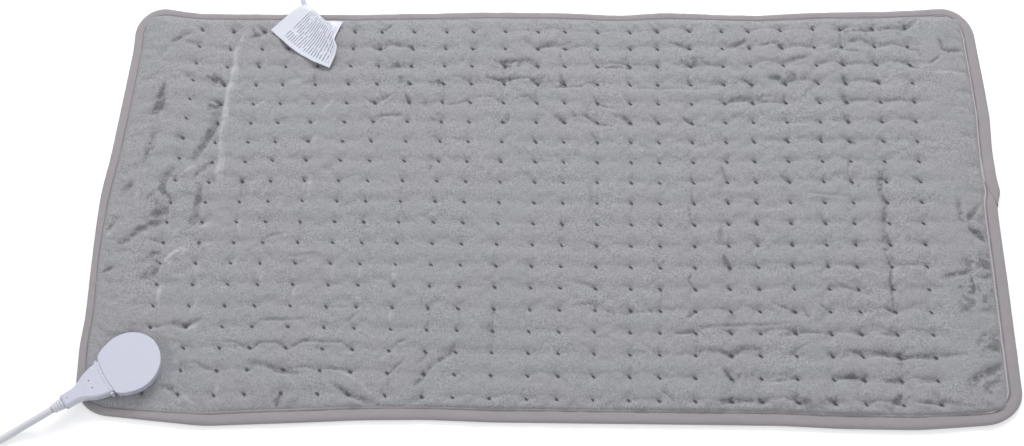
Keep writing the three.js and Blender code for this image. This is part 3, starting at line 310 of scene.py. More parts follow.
def satin_finish(base):
    """Label satin with plain ruled lines, broken up as words are, inside its margins."""
    finish = Finish("label_satin", base, 0.42, Sheen_Weight=0.1, Specular_IOR_Level=0.55)
    flat = finish.place(uv="label")
    inside = finish.add("ShaderNodeSeparateXYZ", {"Vector": flat})
    ink = finish.steps(finish.wave(7.85, flat), 0.44, 0.76)
    breaks = finish.noise(1.0, 1.0, at=finish.place((36, 9, 1), uv="label"))
    for limit in (
        finish.steps(breaks, 0.36, 0.44),
        finish.steps(inside["Y"], 0.06, 0.10), finish.steps(inside["Y"], 0.90, 0.94, 1.0, 0.0),
        finish.steps(inside["X"], 0.20, 0.22), finish.steps(inside["X"], 0.93, 0.95, 1.0, 0.0),
    ):
        ink = finish.maths("MULTIPLY", ink, limit)
    weave = finish.noise(1400.0, 2.0, 0.6)
    ground = finish.mix(weave, scaled(base, 0.95), scaled(base, 1.04))
    finish.paint(finish.mix(ink, ground, colour(152, 155, 172)))
    finish.bump(weave, 0.0001, 0.35)
    return finish.material


def plastic_finish(name, base, roughness, coat=0.0):
    """Moulded plastic: faint flow marks, a fine grain and a little handling wear."""
    finish = Finish(name, base, roughness, Coat_Weight=coat, Coat_Roughness=0.08, Specular_IOR_Level=0.5)
    flow = finish.noise(22.0, 3.0)
    finish.paint(finish.mix(flow, scaled(base, 0.975), scaled(base, 1.02)))
    wear = finish.steps(finish.noise(85.0, 4.0, 0.65), 0.4, 0.75)
    finish.roughen(finish.maths("ADD", finish.maths("MULTIPLY", wear, 0.12), roughness))
    finish.bump(finish.noise(1900.0, 2.0), 0.00004, 0.35)
    return finish.material


def jacket_finish(base):
    """Soft cord jacket with faint draw marks."""
    finish = Finish("cord_jacket", base, 0.45, Specular_IOR_Level=0.45)
    finish.paint(finish.mix(finish.noise(40.0, 3.0), scaled(base, 0.96), scaled(base, 1.03)))
    finish.bump(finish.noise(700.0, 2.0), 0.00012, 0.35)
    return finish.material


def metal_finish(name, base, roughness):
    """Drawn or stamped metal with fine scratches and a duller oxide bloom."""
    finish = Finish(name, base, roughness, Metallic=1.0)
    bloom = finish.steps(finish.noise(180.0, 4.0), 0.4, 0.7)
    finish.paint(finish.mix(bloom, base, scaled(base, 0.78)))
    scratches = finish.noise(900.0, 2.0, at=finish.place((1, 18, 1)))
    finish.roughen(finish.maths("ADD", finish.maths("MULTIPLY", scratches, 0.18), roughness - 0.05))
    finish.bump(scratches, 0.00003, 0.4)
    return finish.material


def fibre_finish(name, base):
    """Felted wadding or a thin carrier cloth."""
    finish = Finish(name, base, 0.95)
    fibres = finish.noise(600.0, 5.0, 0.7)
    finish.paint(finish.mix(fibres, scaled(base, 0.82), scaled(base, 1.08)))
    finish.bump(fibres, 0.0004, 0.6)
    return finish.material


def glass_finish(name, base):
    """Smoked display window."""
    finish = Finish(name, base, 0.06, Transmission_Weight=0.72, IOR=1.49)
    smear = finish.steps(finish.noise(60.0, 4.0), 0.4, 0.8)
    finish.roughen(finish.maths("ADD", finish.maths("MULTIPLY", smear, 0.06), 0.04))
    return finish.material


def make_finishes():
    """All finishes of the object, by the slot that they belong to."""
    pad = bpy.context.scene.heating_pad
    lead = bpy.context.scene.heating_lead
    return {
        "plush": plush_finish("plush", tuple(pad.plush)),
        "plush_under": plush_finish("plush_under", scaled(tuple(pad.plush), 0.88)),
        "binding_tape": tape_finish(tuple(pad.tape)),
        "stitching": thread_finish("stitching", tuple(pad.thread)),
        "tape_thread": thread_finish("tape_thread", scaled(tuple(pad.tape), 0.72)),
        "wadding": fibre_finish("wadding", colour(232, 230, 224)),
        "carrier": fibre_finish("carrier", colour(217, 213, 200)),
        "wire_jacket": plastic_finish("wire_jacket", colour(198, 90, 58), 0.5),
        "label_satin": satin_finish(tuple(pad.satin)),
        "gloss_shell": plastic_finish("gloss_shell", tuple(lead.shell), 0.24, 0.25),
        "inner_shell": plastic_finish("inner_shell", scaled(tuple(lead.shell), 0.94), 0.42),
        "cord_jacket": jacket_finish(tuple(lead.jacket)),
        "insulator": plastic_finish("insulator", colour(43, 43, 46), 0.5),
        "brass": metal_finish("brass", colour(214, 178, 96), 0.30),
        "steel": metal_finish("steel", colour(186, 188, 192), 0.34),
        "window": glass_finish("window", colour(24, 28, 34)),
        "board": plastic_finish("board", colour(47, 107, 61), 0.45),
        "relay": plastic_finish("relay", colour(46, 79, 138), 0.4),
        "button": plastic_finish("button", tuple(lead.button), 0.4),
        "mark": plastic_finish("mark", tuple(lead.mark), 0.5),
    }


FINISHES = {}


# Mesh helpers


def to_mesh(bm, name="part"):
    """A mesh from a bmesh, which is freed."""
    mesh = bpy.data.meshes.new(name)
    bm.to_mesh(mesh)
    bm.free()
    return mesh


def to_bmesh(mesh):
    """A bmesh from a mesh, which is removed."""
    bm = bmesh.new()
    bm.from_mesh(mesh)
    bpy.data.meshes.remove(mesh)
    return bm


def new_object(name, data):
    """An object that is linked to the scene."""
    item = bpy.data.objects.new(name, data)
    bpy.context.scene.collection.objects.link(item)
    return item


def from_mesh(name, mesh, finish, body, replaced=(), slot=None, sharp=35.0):
    """A finished piece from a mesh: shaded smooth, given its finish, and set to ride."""
    mesh.materials.clear()
    mesh.materials.append(FINISHES[finish])
    mesh.shade_smooth()
    if sharp is not None:
        mesh.set_sharp_from_angle(angle=math.radians(sharp))
    piece = new_object(name, mesh)
    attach(piece, body)
    if replaced:
        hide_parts(*replaced)
    return piece


def from_bmesh(name, bm, *details, **more):
    """A finished piece from a bmesh that is already in place."""
    return from_mesh(name, to_mesh(bm, name), *details, **more)


def even_shading(piece):
    """Keeps large flat faces flat beside their rounded edges."""
    modifier = piece.modifiers.new("even_shading", "WEIGHTED_NORMAL")
    modifier.weight = 100
    modifier.keep_sharp = True
    return piece


def combined(operation, mesh, tools):
    """A mesh that the tool bmeshes have cut or been joined to."""
    body = new_object("body", mesh)
    helpers = []
    for tool in tools:
        helper = new_object("tool", to_mesh(tool))
        modifier = body.modifiers.new("combine", "BOOLEAN")
        modifier.operation = operation
        modifier.solver = "EXACT"
        modifier.object = helper
        helpers.append(helper)
    result = bpy.data.meshes.new_from_object(body.evaluated_get(bpy.context.evaluated_depsgraph_get()))
    for helper in (*helpers, body):
        bpy.data.objects.remove(helper)
    if not result.polygons:
        raise RuntimeError("a cut left nothing")
    return result


def cut(body, *tools):
    """A mesh of a bmesh with the tool bmeshes taken away."""
    return combined("DIFFERENCE", to_mesh(body), tools)


def united(body, *others):
    """The union of several bmeshes."""
    return to_bmesh(combined("UNION", to_mesh(body), others))


def round_edges(bm, edges, radius, segments=4):
    """Rounds the given edges."""
    bmesh.ops.bevel(
        bm,
        geom=list(edges),
        offset=radius,
        offset_type="OFFSET",
        affect="EDGES",
        segments=segments,
        profile=0.5,
        material=-1,
        clamp_overlap=True,
    )


def edges_at(bm, place, axis=2):
    """Edges that lie at one place along an axis."""
    return [e for e in bm.edges if all(abs(v.co[axis] - place) < NEAR_ZERO for v in e.verts)]


def open_edges(bm):
    """Edges with a face on one side only."""
    return [e for e in bm.edges if len(e.link_faces) == 1]


def plate(points, bottom, top, edge=0.0, segments=4, under_edge=None, sharp=None):
    """An outline raised between two heights, with rounded upper and lower edges except the sharp ones."""
    bm = bmesh.new()
    face = bm.faces.new([bm.verts.new((x, y, bottom)) for x, y in points])
    raised = bmesh.ops.extrude_face_region(bm, geom=[face])["geom"]
    lifted = [part for part in raised if isinstance(part, bmesh.types.BMVert)]
    bmesh.ops.translate(bm, verts=lifted, vec=(0, 0, top - bottom))
    bmesh.ops.recalc_face_normals(bm, faces=bm.faces)
    for height, radius in ((top, edge), (bottom, edge if under_edge is None else under_edge)):
        if radius > 0:
            round_edges(bm, [e for e in edges_at(bm, height) if not (sharp and sharp(e))], radius, segments)
    return bm


def box(width, depth, bottom, top, x=0.0, y=0.0, edge=0.0):
    """A block between two heights, with rounded edges if asked."""
    bm = bmesh.new()
    bmesh.ops.create_cube(bm, size=1.0)
    bmesh.ops.scale(bm, verts=bm.verts, vec=(width, depth, top - bottom))
    bmesh.ops.translate(bm, verts=bm.verts, vec=(x, y, (bottom + top) / 2))
    if edge > 0:
        round_edges(bm, bm.edges[:], edge, 3)
    return bm


def turned(profile, steps=48):
    """A body turned about z from pairs of radius and height, closed on its axis."""
    bm = bmesh.new()
    chain = [bm.verts.new((radius, 0, height)) for radius, height in profile]
    edges = [bm.edges.new(pair) for pair in zip(chain, chain[1:])]
    bmesh.ops.spin(
        bm,
        geom=chain + edges,
        cent=(0, 0, 0),
        axis=(0, 0, 1),
        dvec=(0, 0, 0),
        angle=2 * math.pi,
        steps=steps,
        use_merge=True,
        use_duplicate=False,
    )
    bmesh.ops.remove_doubles(bm, verts=bm.verts, dist=NEAR_ZERO)
    bmesh.ops.recalc_face_normals(bm, faces=bm.faces)
    return bm


def drum(radius, bottom, top, x=0.0, y=0.0, steps=40):
    """A plain round tool or pin."""
    bm = turned([(0, bottom), (radius, bottom), (radius, top), (0, top)], steps)
    bmesh.ops.translate(bm, verts=bm.verts, vec=(x, y, 0))
    return bm


def move(bm, place):
    """Moves a whole bmesh by a matrix."""
    bmesh.ops.transform(bm, matrix=place, verts=bm.verts)
    return bm


def along_x(bm, height):
    """Lays a body that was turned about z along x, at a height."""
    return move(bm, Matrix.Translation((0, 0, height)) @ Matrix.Rotation(math.pi / 2, 4, "Y"))


def along_y(bm, height, sign=1):
    """Lays a body that was turned about z along y, at a height."""
    return move(bm, Matrix.Translation((0, 0, height)) @ Matrix.Rotation(-sign * math.pi / 2, 4, "X"))


def joined(*parts):
    """Several bmeshes as one."""
    whole = bmesh.new()
    for part in parts:
        mesh = to_mesh(part)
        whole.from_mesh(mesh)
        bpy.data.meshes.remove(mesh)
    return whole


def scattered(template, places):
    """One bmesh that repeats a template at each place."""
    mesh = to_mesh(template)
    whole = bmesh.new()
    for place in places:
        mesh.transform(place)
        whole.from_mesh(mesh)
        mesh.transform(place.inverted())
    bpy.data.meshes.remove(mesh)
    return whole


def smooth_step(values, low, high):
    """Rises softly from 0 at low to 1 at high."""
    share = np.clip((values - low) / (high - low), 0, 1)
    return share * share * (3 - 2 * share)


# The pad's outline, and how the cloth lies


def tack_columns():
    """Places across the pad, whose pitches repeat in turn."""
    places = [-PAD_WIDTH / 2 + LEFT_INSET]
    for pitch in itertools.cycle(COLUMN_PITCHES):
        if places[-1] + pitch > PAD_WIDTH / 2 - RIGHT_INSET:
            return np.array(places)
        places.append(places[-1] + pitch)


def tack_rows():
    """Places along the pad, evenly spaced."""
    start = -PAD_DEPTH / 2 + NEAR_INSET
    return np.arange(start, PAD_DEPTH / 2 - FAR_INSET + NEAR_ZERO, ROW_PITCH)


# How far each edge of the pad as laid stands outside its cut outline: place along, distance
LEFT_WAVE = (
    (-0.200, 0.0), (-0.187, 0.0006), (-0.168, 0.0022), (-0.150, 0.0036), (-0.125, 0.0026), (-0.045, 0.0070),
    (0.005, 0.0085), (0.045, 0.0050), (0.168, 0.0005), (0.190, 0.0022), (0.210, 0.0036),
)
RIGHT_WAVE = (
    (-0.180, 0.0), (-0.077, 0.0), (-0.024, -0.0005), (0.001, -0.0004), (0.012, 0.0034), (0.030, 0.0012),
    (0.063, 0.0018), (0.094, 0.0034), (0.125, 0.0022), (0.157, 0.0004), (0.187, -0.0014),
)
FAR_WAVE = (
    (-0.412, 0.006), (-0.392, 0.0036), (-0.372, -0.0005), (-0.352, -0.003), (-0.200, -0.004),
    (-0.060, -0.001), (0.010, -0.0015), (0.068, -0.005), (0.113, -0.0015), (0.205, -0.005), (0.268, -0.001),
    (0.338, 0.0), (0.397, 0.004),
)
NEAR_WAVE = (
    (-0.395, 0.002), (-0.357, 0.0055), (-0.300, 0.0105), (-0.213, 0.006), (-0.163, 0.003), (-0.103, 0.0015),
    (-0.044, 0.003), (0.208, 0.002), (0.262, 0.004), (0.328, 0.004), (0.381, -0.0005), (0.410, -0.004),
)
WAVE_FADE = 0.085
# How far the quilting lies from its even grid to the right and away, in millimetres, row by row
# from the near side
DRIFT_COLUMNS = (-0.36, -0.335, -0.24, -0.12, 0.0, 0.12, 0.24, 0.36)
DRIFT_ROWS = (-0.195, -0.12, -0.04, 0.0, 0.04, 0.12, 0.19)
DRIFT_RIGHT = (
    (0.5, 0.5, 1, 3, 3.5, 0, -3.5, -5.5), (-1, -0.5, 1, 3.5, 4, 2.5, -1.5, -5.5),
    (0, 0.5, 2, 3.5, 5, 3.5, -0.5, -4), (1.5, 1.5, 2, 4, 5.5, 4, 0.5, -3), (3, 3, 1.5, 5, 5.5, 4, 1, -2),
    (4.5, 4, 2.5, 5.5, 5.5, 3.5, 2.5, 0), (7, 6.5, 5, 5.5, 5, 4, 0.5, -2),
)
DRIFT_AWAY = (
    (0, 1, 4, -1.5, -1.5, -2, -1.5, -2), (-4, -3.5, -2, -3, -3.5, -3.5, -2.5, -2),
    (-3, -3, -2, -1.5, -2.5, -3, 0, 1.5), (-4, -3.5, -1, -0.5, -1.5, -1.5, 1, 2),
    (2, -3.5, 0, 0, -0.5, -0.5, 2, 2.5), (5.5, -2, -0.5, 1.5, 1, 0, 2, 3.5),
    (0.5, -1.5, 0, -1.5, -1.5, -1, 1.5, 2),
)


def wave_at(table, place, softness=0.016):
    """A smooth curve through a table of places and distances."""
    xs, ys = (np.array(column) for column in zip(*table))
    fine = np.arange(xs[0] - 0.03, xs[-1] + 0.03, 0.001)
    reach = int(softness / 0.001)
    kernel = np.hanning(2 * reach + 3)[1:-1]
    padded = np.pad(np.interp(fine, xs, ys), reach, mode="edge")
    return np.interp(place, fine, np.convolve(padded, kernel / kernel.sum(), mode="valid"))


def drift_at(table, x, y):
    """Distance in metres from a grid of distances in millimetres, evenly blended."""
    columns = np.array([np.interp(x, DRIFT_COLUMNS, row) for row in table])
    row = np.clip(np.interp(y, DRIFT_ROWS, np.arange(len(DRIFT_ROWS))), 0, len(DRIFT_ROWS) - 1.001)
    low, spot = row.astype(int), np.arange(len(x))
    return UNIT * (columns[low, spot] * (1 - row + low) + columns[low + 1, spot] * (row - low))


def laid(points):
    """Moves points of the flat pad to where they lie in the wavy outline."""
    x, y = points[:, 0].copy(), points[:, 1].copy()
    half_width, half_depth = PAD_WIDTH / 2, PAD_DEPTH / 2

    def pull(distance):
        return np.clip(1 - distance / WAVE_FADE, 0, 1) ** 2

    points[:, 0] -= wave_at(LEFT_WAVE, y) * pull(x + half_width)
    points[:, 0] += wave_at(RIGHT_WAVE, y, 0.006) * pull(half_width - x)
    points[:, 1] += wave_at(FAR_WAVE, x) * pull(half_depth - y)
    points[:, 1] -= wave_at(NEAR_WAVE, x) * pull(y + half_depth)
    inner = smooth_step(np.minimum(half_width - np.abs(x), half_depth - np.abs(y)), 0.009, 0.024)
    points[:, 0] += inner * drift_at(DRIFT_RIGHT, x, y)
    points[:, 1] += inner * drift_at(DRIFT_AWAY, x, y)
    return points


# How wide the tape shows on each side, as shares of its cut width: place along, share
LEFT_TAPE = (
    (-0.19, 0.95), (-0.144, 0.80), (-0.107, 0.78), (-0.068, 0.66), (-0.029, 0.74), (0.02, 0.90),
    (0.10, 1.0),
)
NEAR_TAPE = (
    (-0.40, 0.80), (-0.355, 0.78), (-0.310, 0.90), (-0.263, 1.02), (-0.19, 1.08), (0.06, 1.12),
    (0.30, 1.14), (0.40, 1.12),
)
RIGHT_TAPE, FAR_TAPE = 1.22, 0.84
TAPE_BLEND = 0.009


def tape_share(x, y):
    """The share of the tape's width that lies on top, blended from the nearest sides of the pad."""
    sides = (
        (PAD_WIDTH / 2 - x, RIGHT_TAPE), (PAD_DEPTH / 2 - y, FAR_TAPE),
        (PAD_DEPTH / 2 + y, wave_at(NEAR_TAPE, x)), (PAD_WIDTH / 2 + x, wave_at(LEFT_TAPE, y)),
    )
    weights = [np.exp(-np.clip(distance, 0, 0.4) / TAPE_BLEND) for distance, _ in sides]
    return sum(weight * share for weight, (_, share) in zip(weights, sides)) / sum(weights)


def round_corners(points, inset):
    """Draws the corner squares of a sheet in to quarter circles, for a sheet cut at this inset."""
    radius = CORNER_RADIUS - inset
    reach = np.array([PAD_WIDTH / 2, PAD_DEPTH / 2]) - CORNER_RADIUS
    a, b = np.clip((np.abs(points[:, :2]) - reach) / radius, 0, 1).T
    rounded = reach + radius * np.stack([a * np.sqrt(1 - b * b / 2), b * np.sqrt(1 - a * a / 2)], 1)
    in_corner = ((a > 0) & (b > 0))[:, None]
    points[:, :2] = np.where(in_corner, np.sign(points[:, :2]) * rounded, points[:, :2])
    return points


def outline_places(spacing):
    """Points and headings round the pad's edge, anticlockwise from the near left corner."""
    reach_x = PAD_WIDTH / 2 - CORNER_RADIUS
    reach_y = PAD_DEPTH / 2 - CORNER_RADIUS
    steps = max(6, round(CORNER_RADIUS * math.pi / 2 / spacing))
    places = []
    for sign_x, sign_y, start in ((-1, -1, 180), (1, -1, 270), (1, 1, 0), (-1, 1, 90)):
        for step in range(steps + 1):
            angle = math.radians(start + 90 * step / steps)
            x = sign_x * reach_x + CORNER_RADIUS * math.cos(angle)
            y = sign_y * reach_y + CORNER_RADIUS * math.sin(angle)
            places.append(((x, y), angle))
        side = 2 * (reach_x if sign_x == sign_y else reach_y)
        run = max(2, round(side / spacing))
        for step in range(1, run):
            shift = side * step / run
            places.append(((x - shift * math.sin(angle), y + shift * math.cos(angle)), angle))
    return places


def grid_axis(start, stops, end, cell):
    """Places along one side of the cloth, with a grid line on every tack."""
    knots = [start, *stops, end]
    places = []
    for first, last in zip(knots, knots[1:]):
        cells = max(1, round((last - first) / cell))
        places += [first + (last - first) * step / cells for step in range(cells)]
    return np.array([*places, end])


def grid_object(name, xs, ys):
    """A grid mesh and each point's column and row in it."""
    bm = bmesh.new()
    bmesh.ops.create_grid(bm, x_segments=len(xs) - 1, y_segments=len(ys) - 1, size=0.5)
    mesh = to_mesh(bm, name)
    points = np.zeros(len(mesh.vertices) * 3)
    mesh.vertices.foreach_get("co", points)
    shares = points.reshape(-1, 3)[:, :2] + 0.5
    column, row = np.rint(shares * (len(xs) - 1, len(ys) - 1)).astype(int).T
    return mesh, column, row


def on_rim(column, row, xs, ys):
    """Which points of a grid lie on its outer edge."""
    return (column == 0) | (row == 0) | (column == len(xs) - 1) | (row == len(ys) - 1)


def set_points(mesh, points):
    """Puts the points of a mesh at new places."""
    mesh.vertices.foreach_set("co", points.ravel())


def set_attribute(mesh, name, values):
    """Gives each point a number that a finish reads."""
    attribute = mesh.attributes.new(name, "FLOAT", "POINT")
    attribute.data.foreach_set("value", values.astype(np.float32))


def set_map(mesh, name, u, v):
    """A UV map from one place for each point."""
    layer = mesh.uv_layers.new(name=name)
    index = np.zeros(len(mesh.loops), int)
    mesh.loops.foreach_get("vertex_index", index)
    layer.data.foreach_set("uv", np.stack([u[index], v[index]], 1).astype(np.float32).ravel())


CLOTH_SCALE = 10.0
CLOTH_FRAMES = 20
TACK_HEIGHT = 0.0055
EDGE_HEIGHT = 0.0046
START_HEIGHT = 0.0064
START_SCATTER = 0.00008
CLOTH = {
    "quality": 5, "mass": 0.1, "tension_stiffness": 15, "compression_stiffness": 15, "shear_stiffness": 5,
    "bending_stiffness": 2, "vertex_group_mass": "held", "pin_stiffness": 1, "use_pressure": True,
    "uniform_pressure_force": 4, "shrink_min": -0.03,
}


def simulate_cover(xs, ys, columns, rows):
    """Cloth tacked down on the grid and pressed up from below, as heights and shifts."""
    mesh, column, row = grid_object("cover_cloth", xs, ys)
    points = np.stack([xs[column], ys[row], np.full(len(column), START_HEIGHT)], 1)
    points[:, 2] += np.random.default_rng(3).normal(0, START_SCATTER, len(points))
    tacked = np.isin(column, [np.abs(xs - c).argmin() for c in columns])
    tacked &= np.isin(row, [np.abs(ys - r).argmin() for r in rows])
    edge = on_rim(column, row, xs, ys)
    points[tacked, 2] = TACK_HEIGHT
    points[edge, 2] = EDGE_HEIGHT
    set_points(mesh, points * CLOTH_SCALE)
    mesh.update()
    cloth = new_object("cover_cloth", mesh)
    cloth.vertex_groups.new(name="held").add(np.nonzero(tacked | edge)[0].tolist(), 1.0, "REPLACE")
    modifier = cloth.modifiers.new("cloth", "CLOTH")
    for key, value in CLOTH.items():
        setattr(modifier.settings, key, value)
    modifier.settings.effector_weights.gravity = 0
    modifier.collision_settings.use_collision = False
    modifier.collision_settings.use_self_collision = False
    modifier.point_cache.frame_start = 1
    modifier.point_cache.frame_end = CLOTH_FRAMES
    for step in range(1, CLOTH_FRAMES + 1):
        bpy.context.scene.frame_set(step)
    posed = cloth.evaluated_get(bpy.context.evaluated_depsgraph_get()).data
    result = np.zeros(len(points) * 3)
    posed.vertices.foreach_get("co", result)
    result = result.reshape(-1, 3) / CLOTH_SCALE
    bpy.context.scene.frame_set(1)
    bpy.data.objects.remove(cloth)
    shifts = np.zeros((len(ys), len(xs), 3))
    shifts[row, column] = result - points
    shifts[row, column, 2] = result[:, 2]
    return shifts


def refine(values, parts):
    """Smoothly adds points between the rows of an array."""
    count = len(values)
    index = np.arange((count - 1) * parts + 1)
    base = np.minimum(index // parts, count - 2)
    t = (index / parts - base).reshape(-1, *([1] * (values.ndim - 1)))
    before = values[np.maximum(base - 1, 0)]
    first, second = values[base], values[base + 1]
    after = values[np.minimum(base + 2, count - 1)]
    return 0.5 * (
        2 * first
        + (second - before) * t
        + (2 * before - 5 * first + 4 * second - after) * t ** 2
        + (3 * first - before - 3 * second + after) * t ** 3
    )


LUMP_MARGIN = 0.05


def refine_sheet(values, parts):
    """Smoothly adds points both ways between those of a sheet."""
    return refine(refine(values, parts).transpose(1, 0, 2), parts).transpose(1, 0, 2)


def lumps(x, y, spacing, seed):
    """Smooth random hills of about one unit, a given distance apart."""
    shape = [int((side + 2 * LUMP_MARGIN) / spacing) + 6 for side in (PAD_DEPTH, PAD_WIDTH)]
    field = np.random.default_rng(seed).normal(0, 1, shape)
    u = np.clip((x + PAD_WIDTH / 2 + LUMP_MARGIN) / spacing, 0, shape[1] - 2)
    v = np.clip((y + PAD_DEPTH / 2 + LUMP_MARGIN) / spacing, 0, shape[0] - 2)
    i, j = u.astype(int), v.astype(int)
    s, t = smooth_step(u - i, 0, 1), smooth_step(v - j, 0, 1)
    lower = field[j, i] * (1 - s) + field[j, i + 1] * s
    upper = field[j + 1, i] * (1 - s) + field[j + 1, i + 1] * s
    return lower * (1 - t) + upper * t
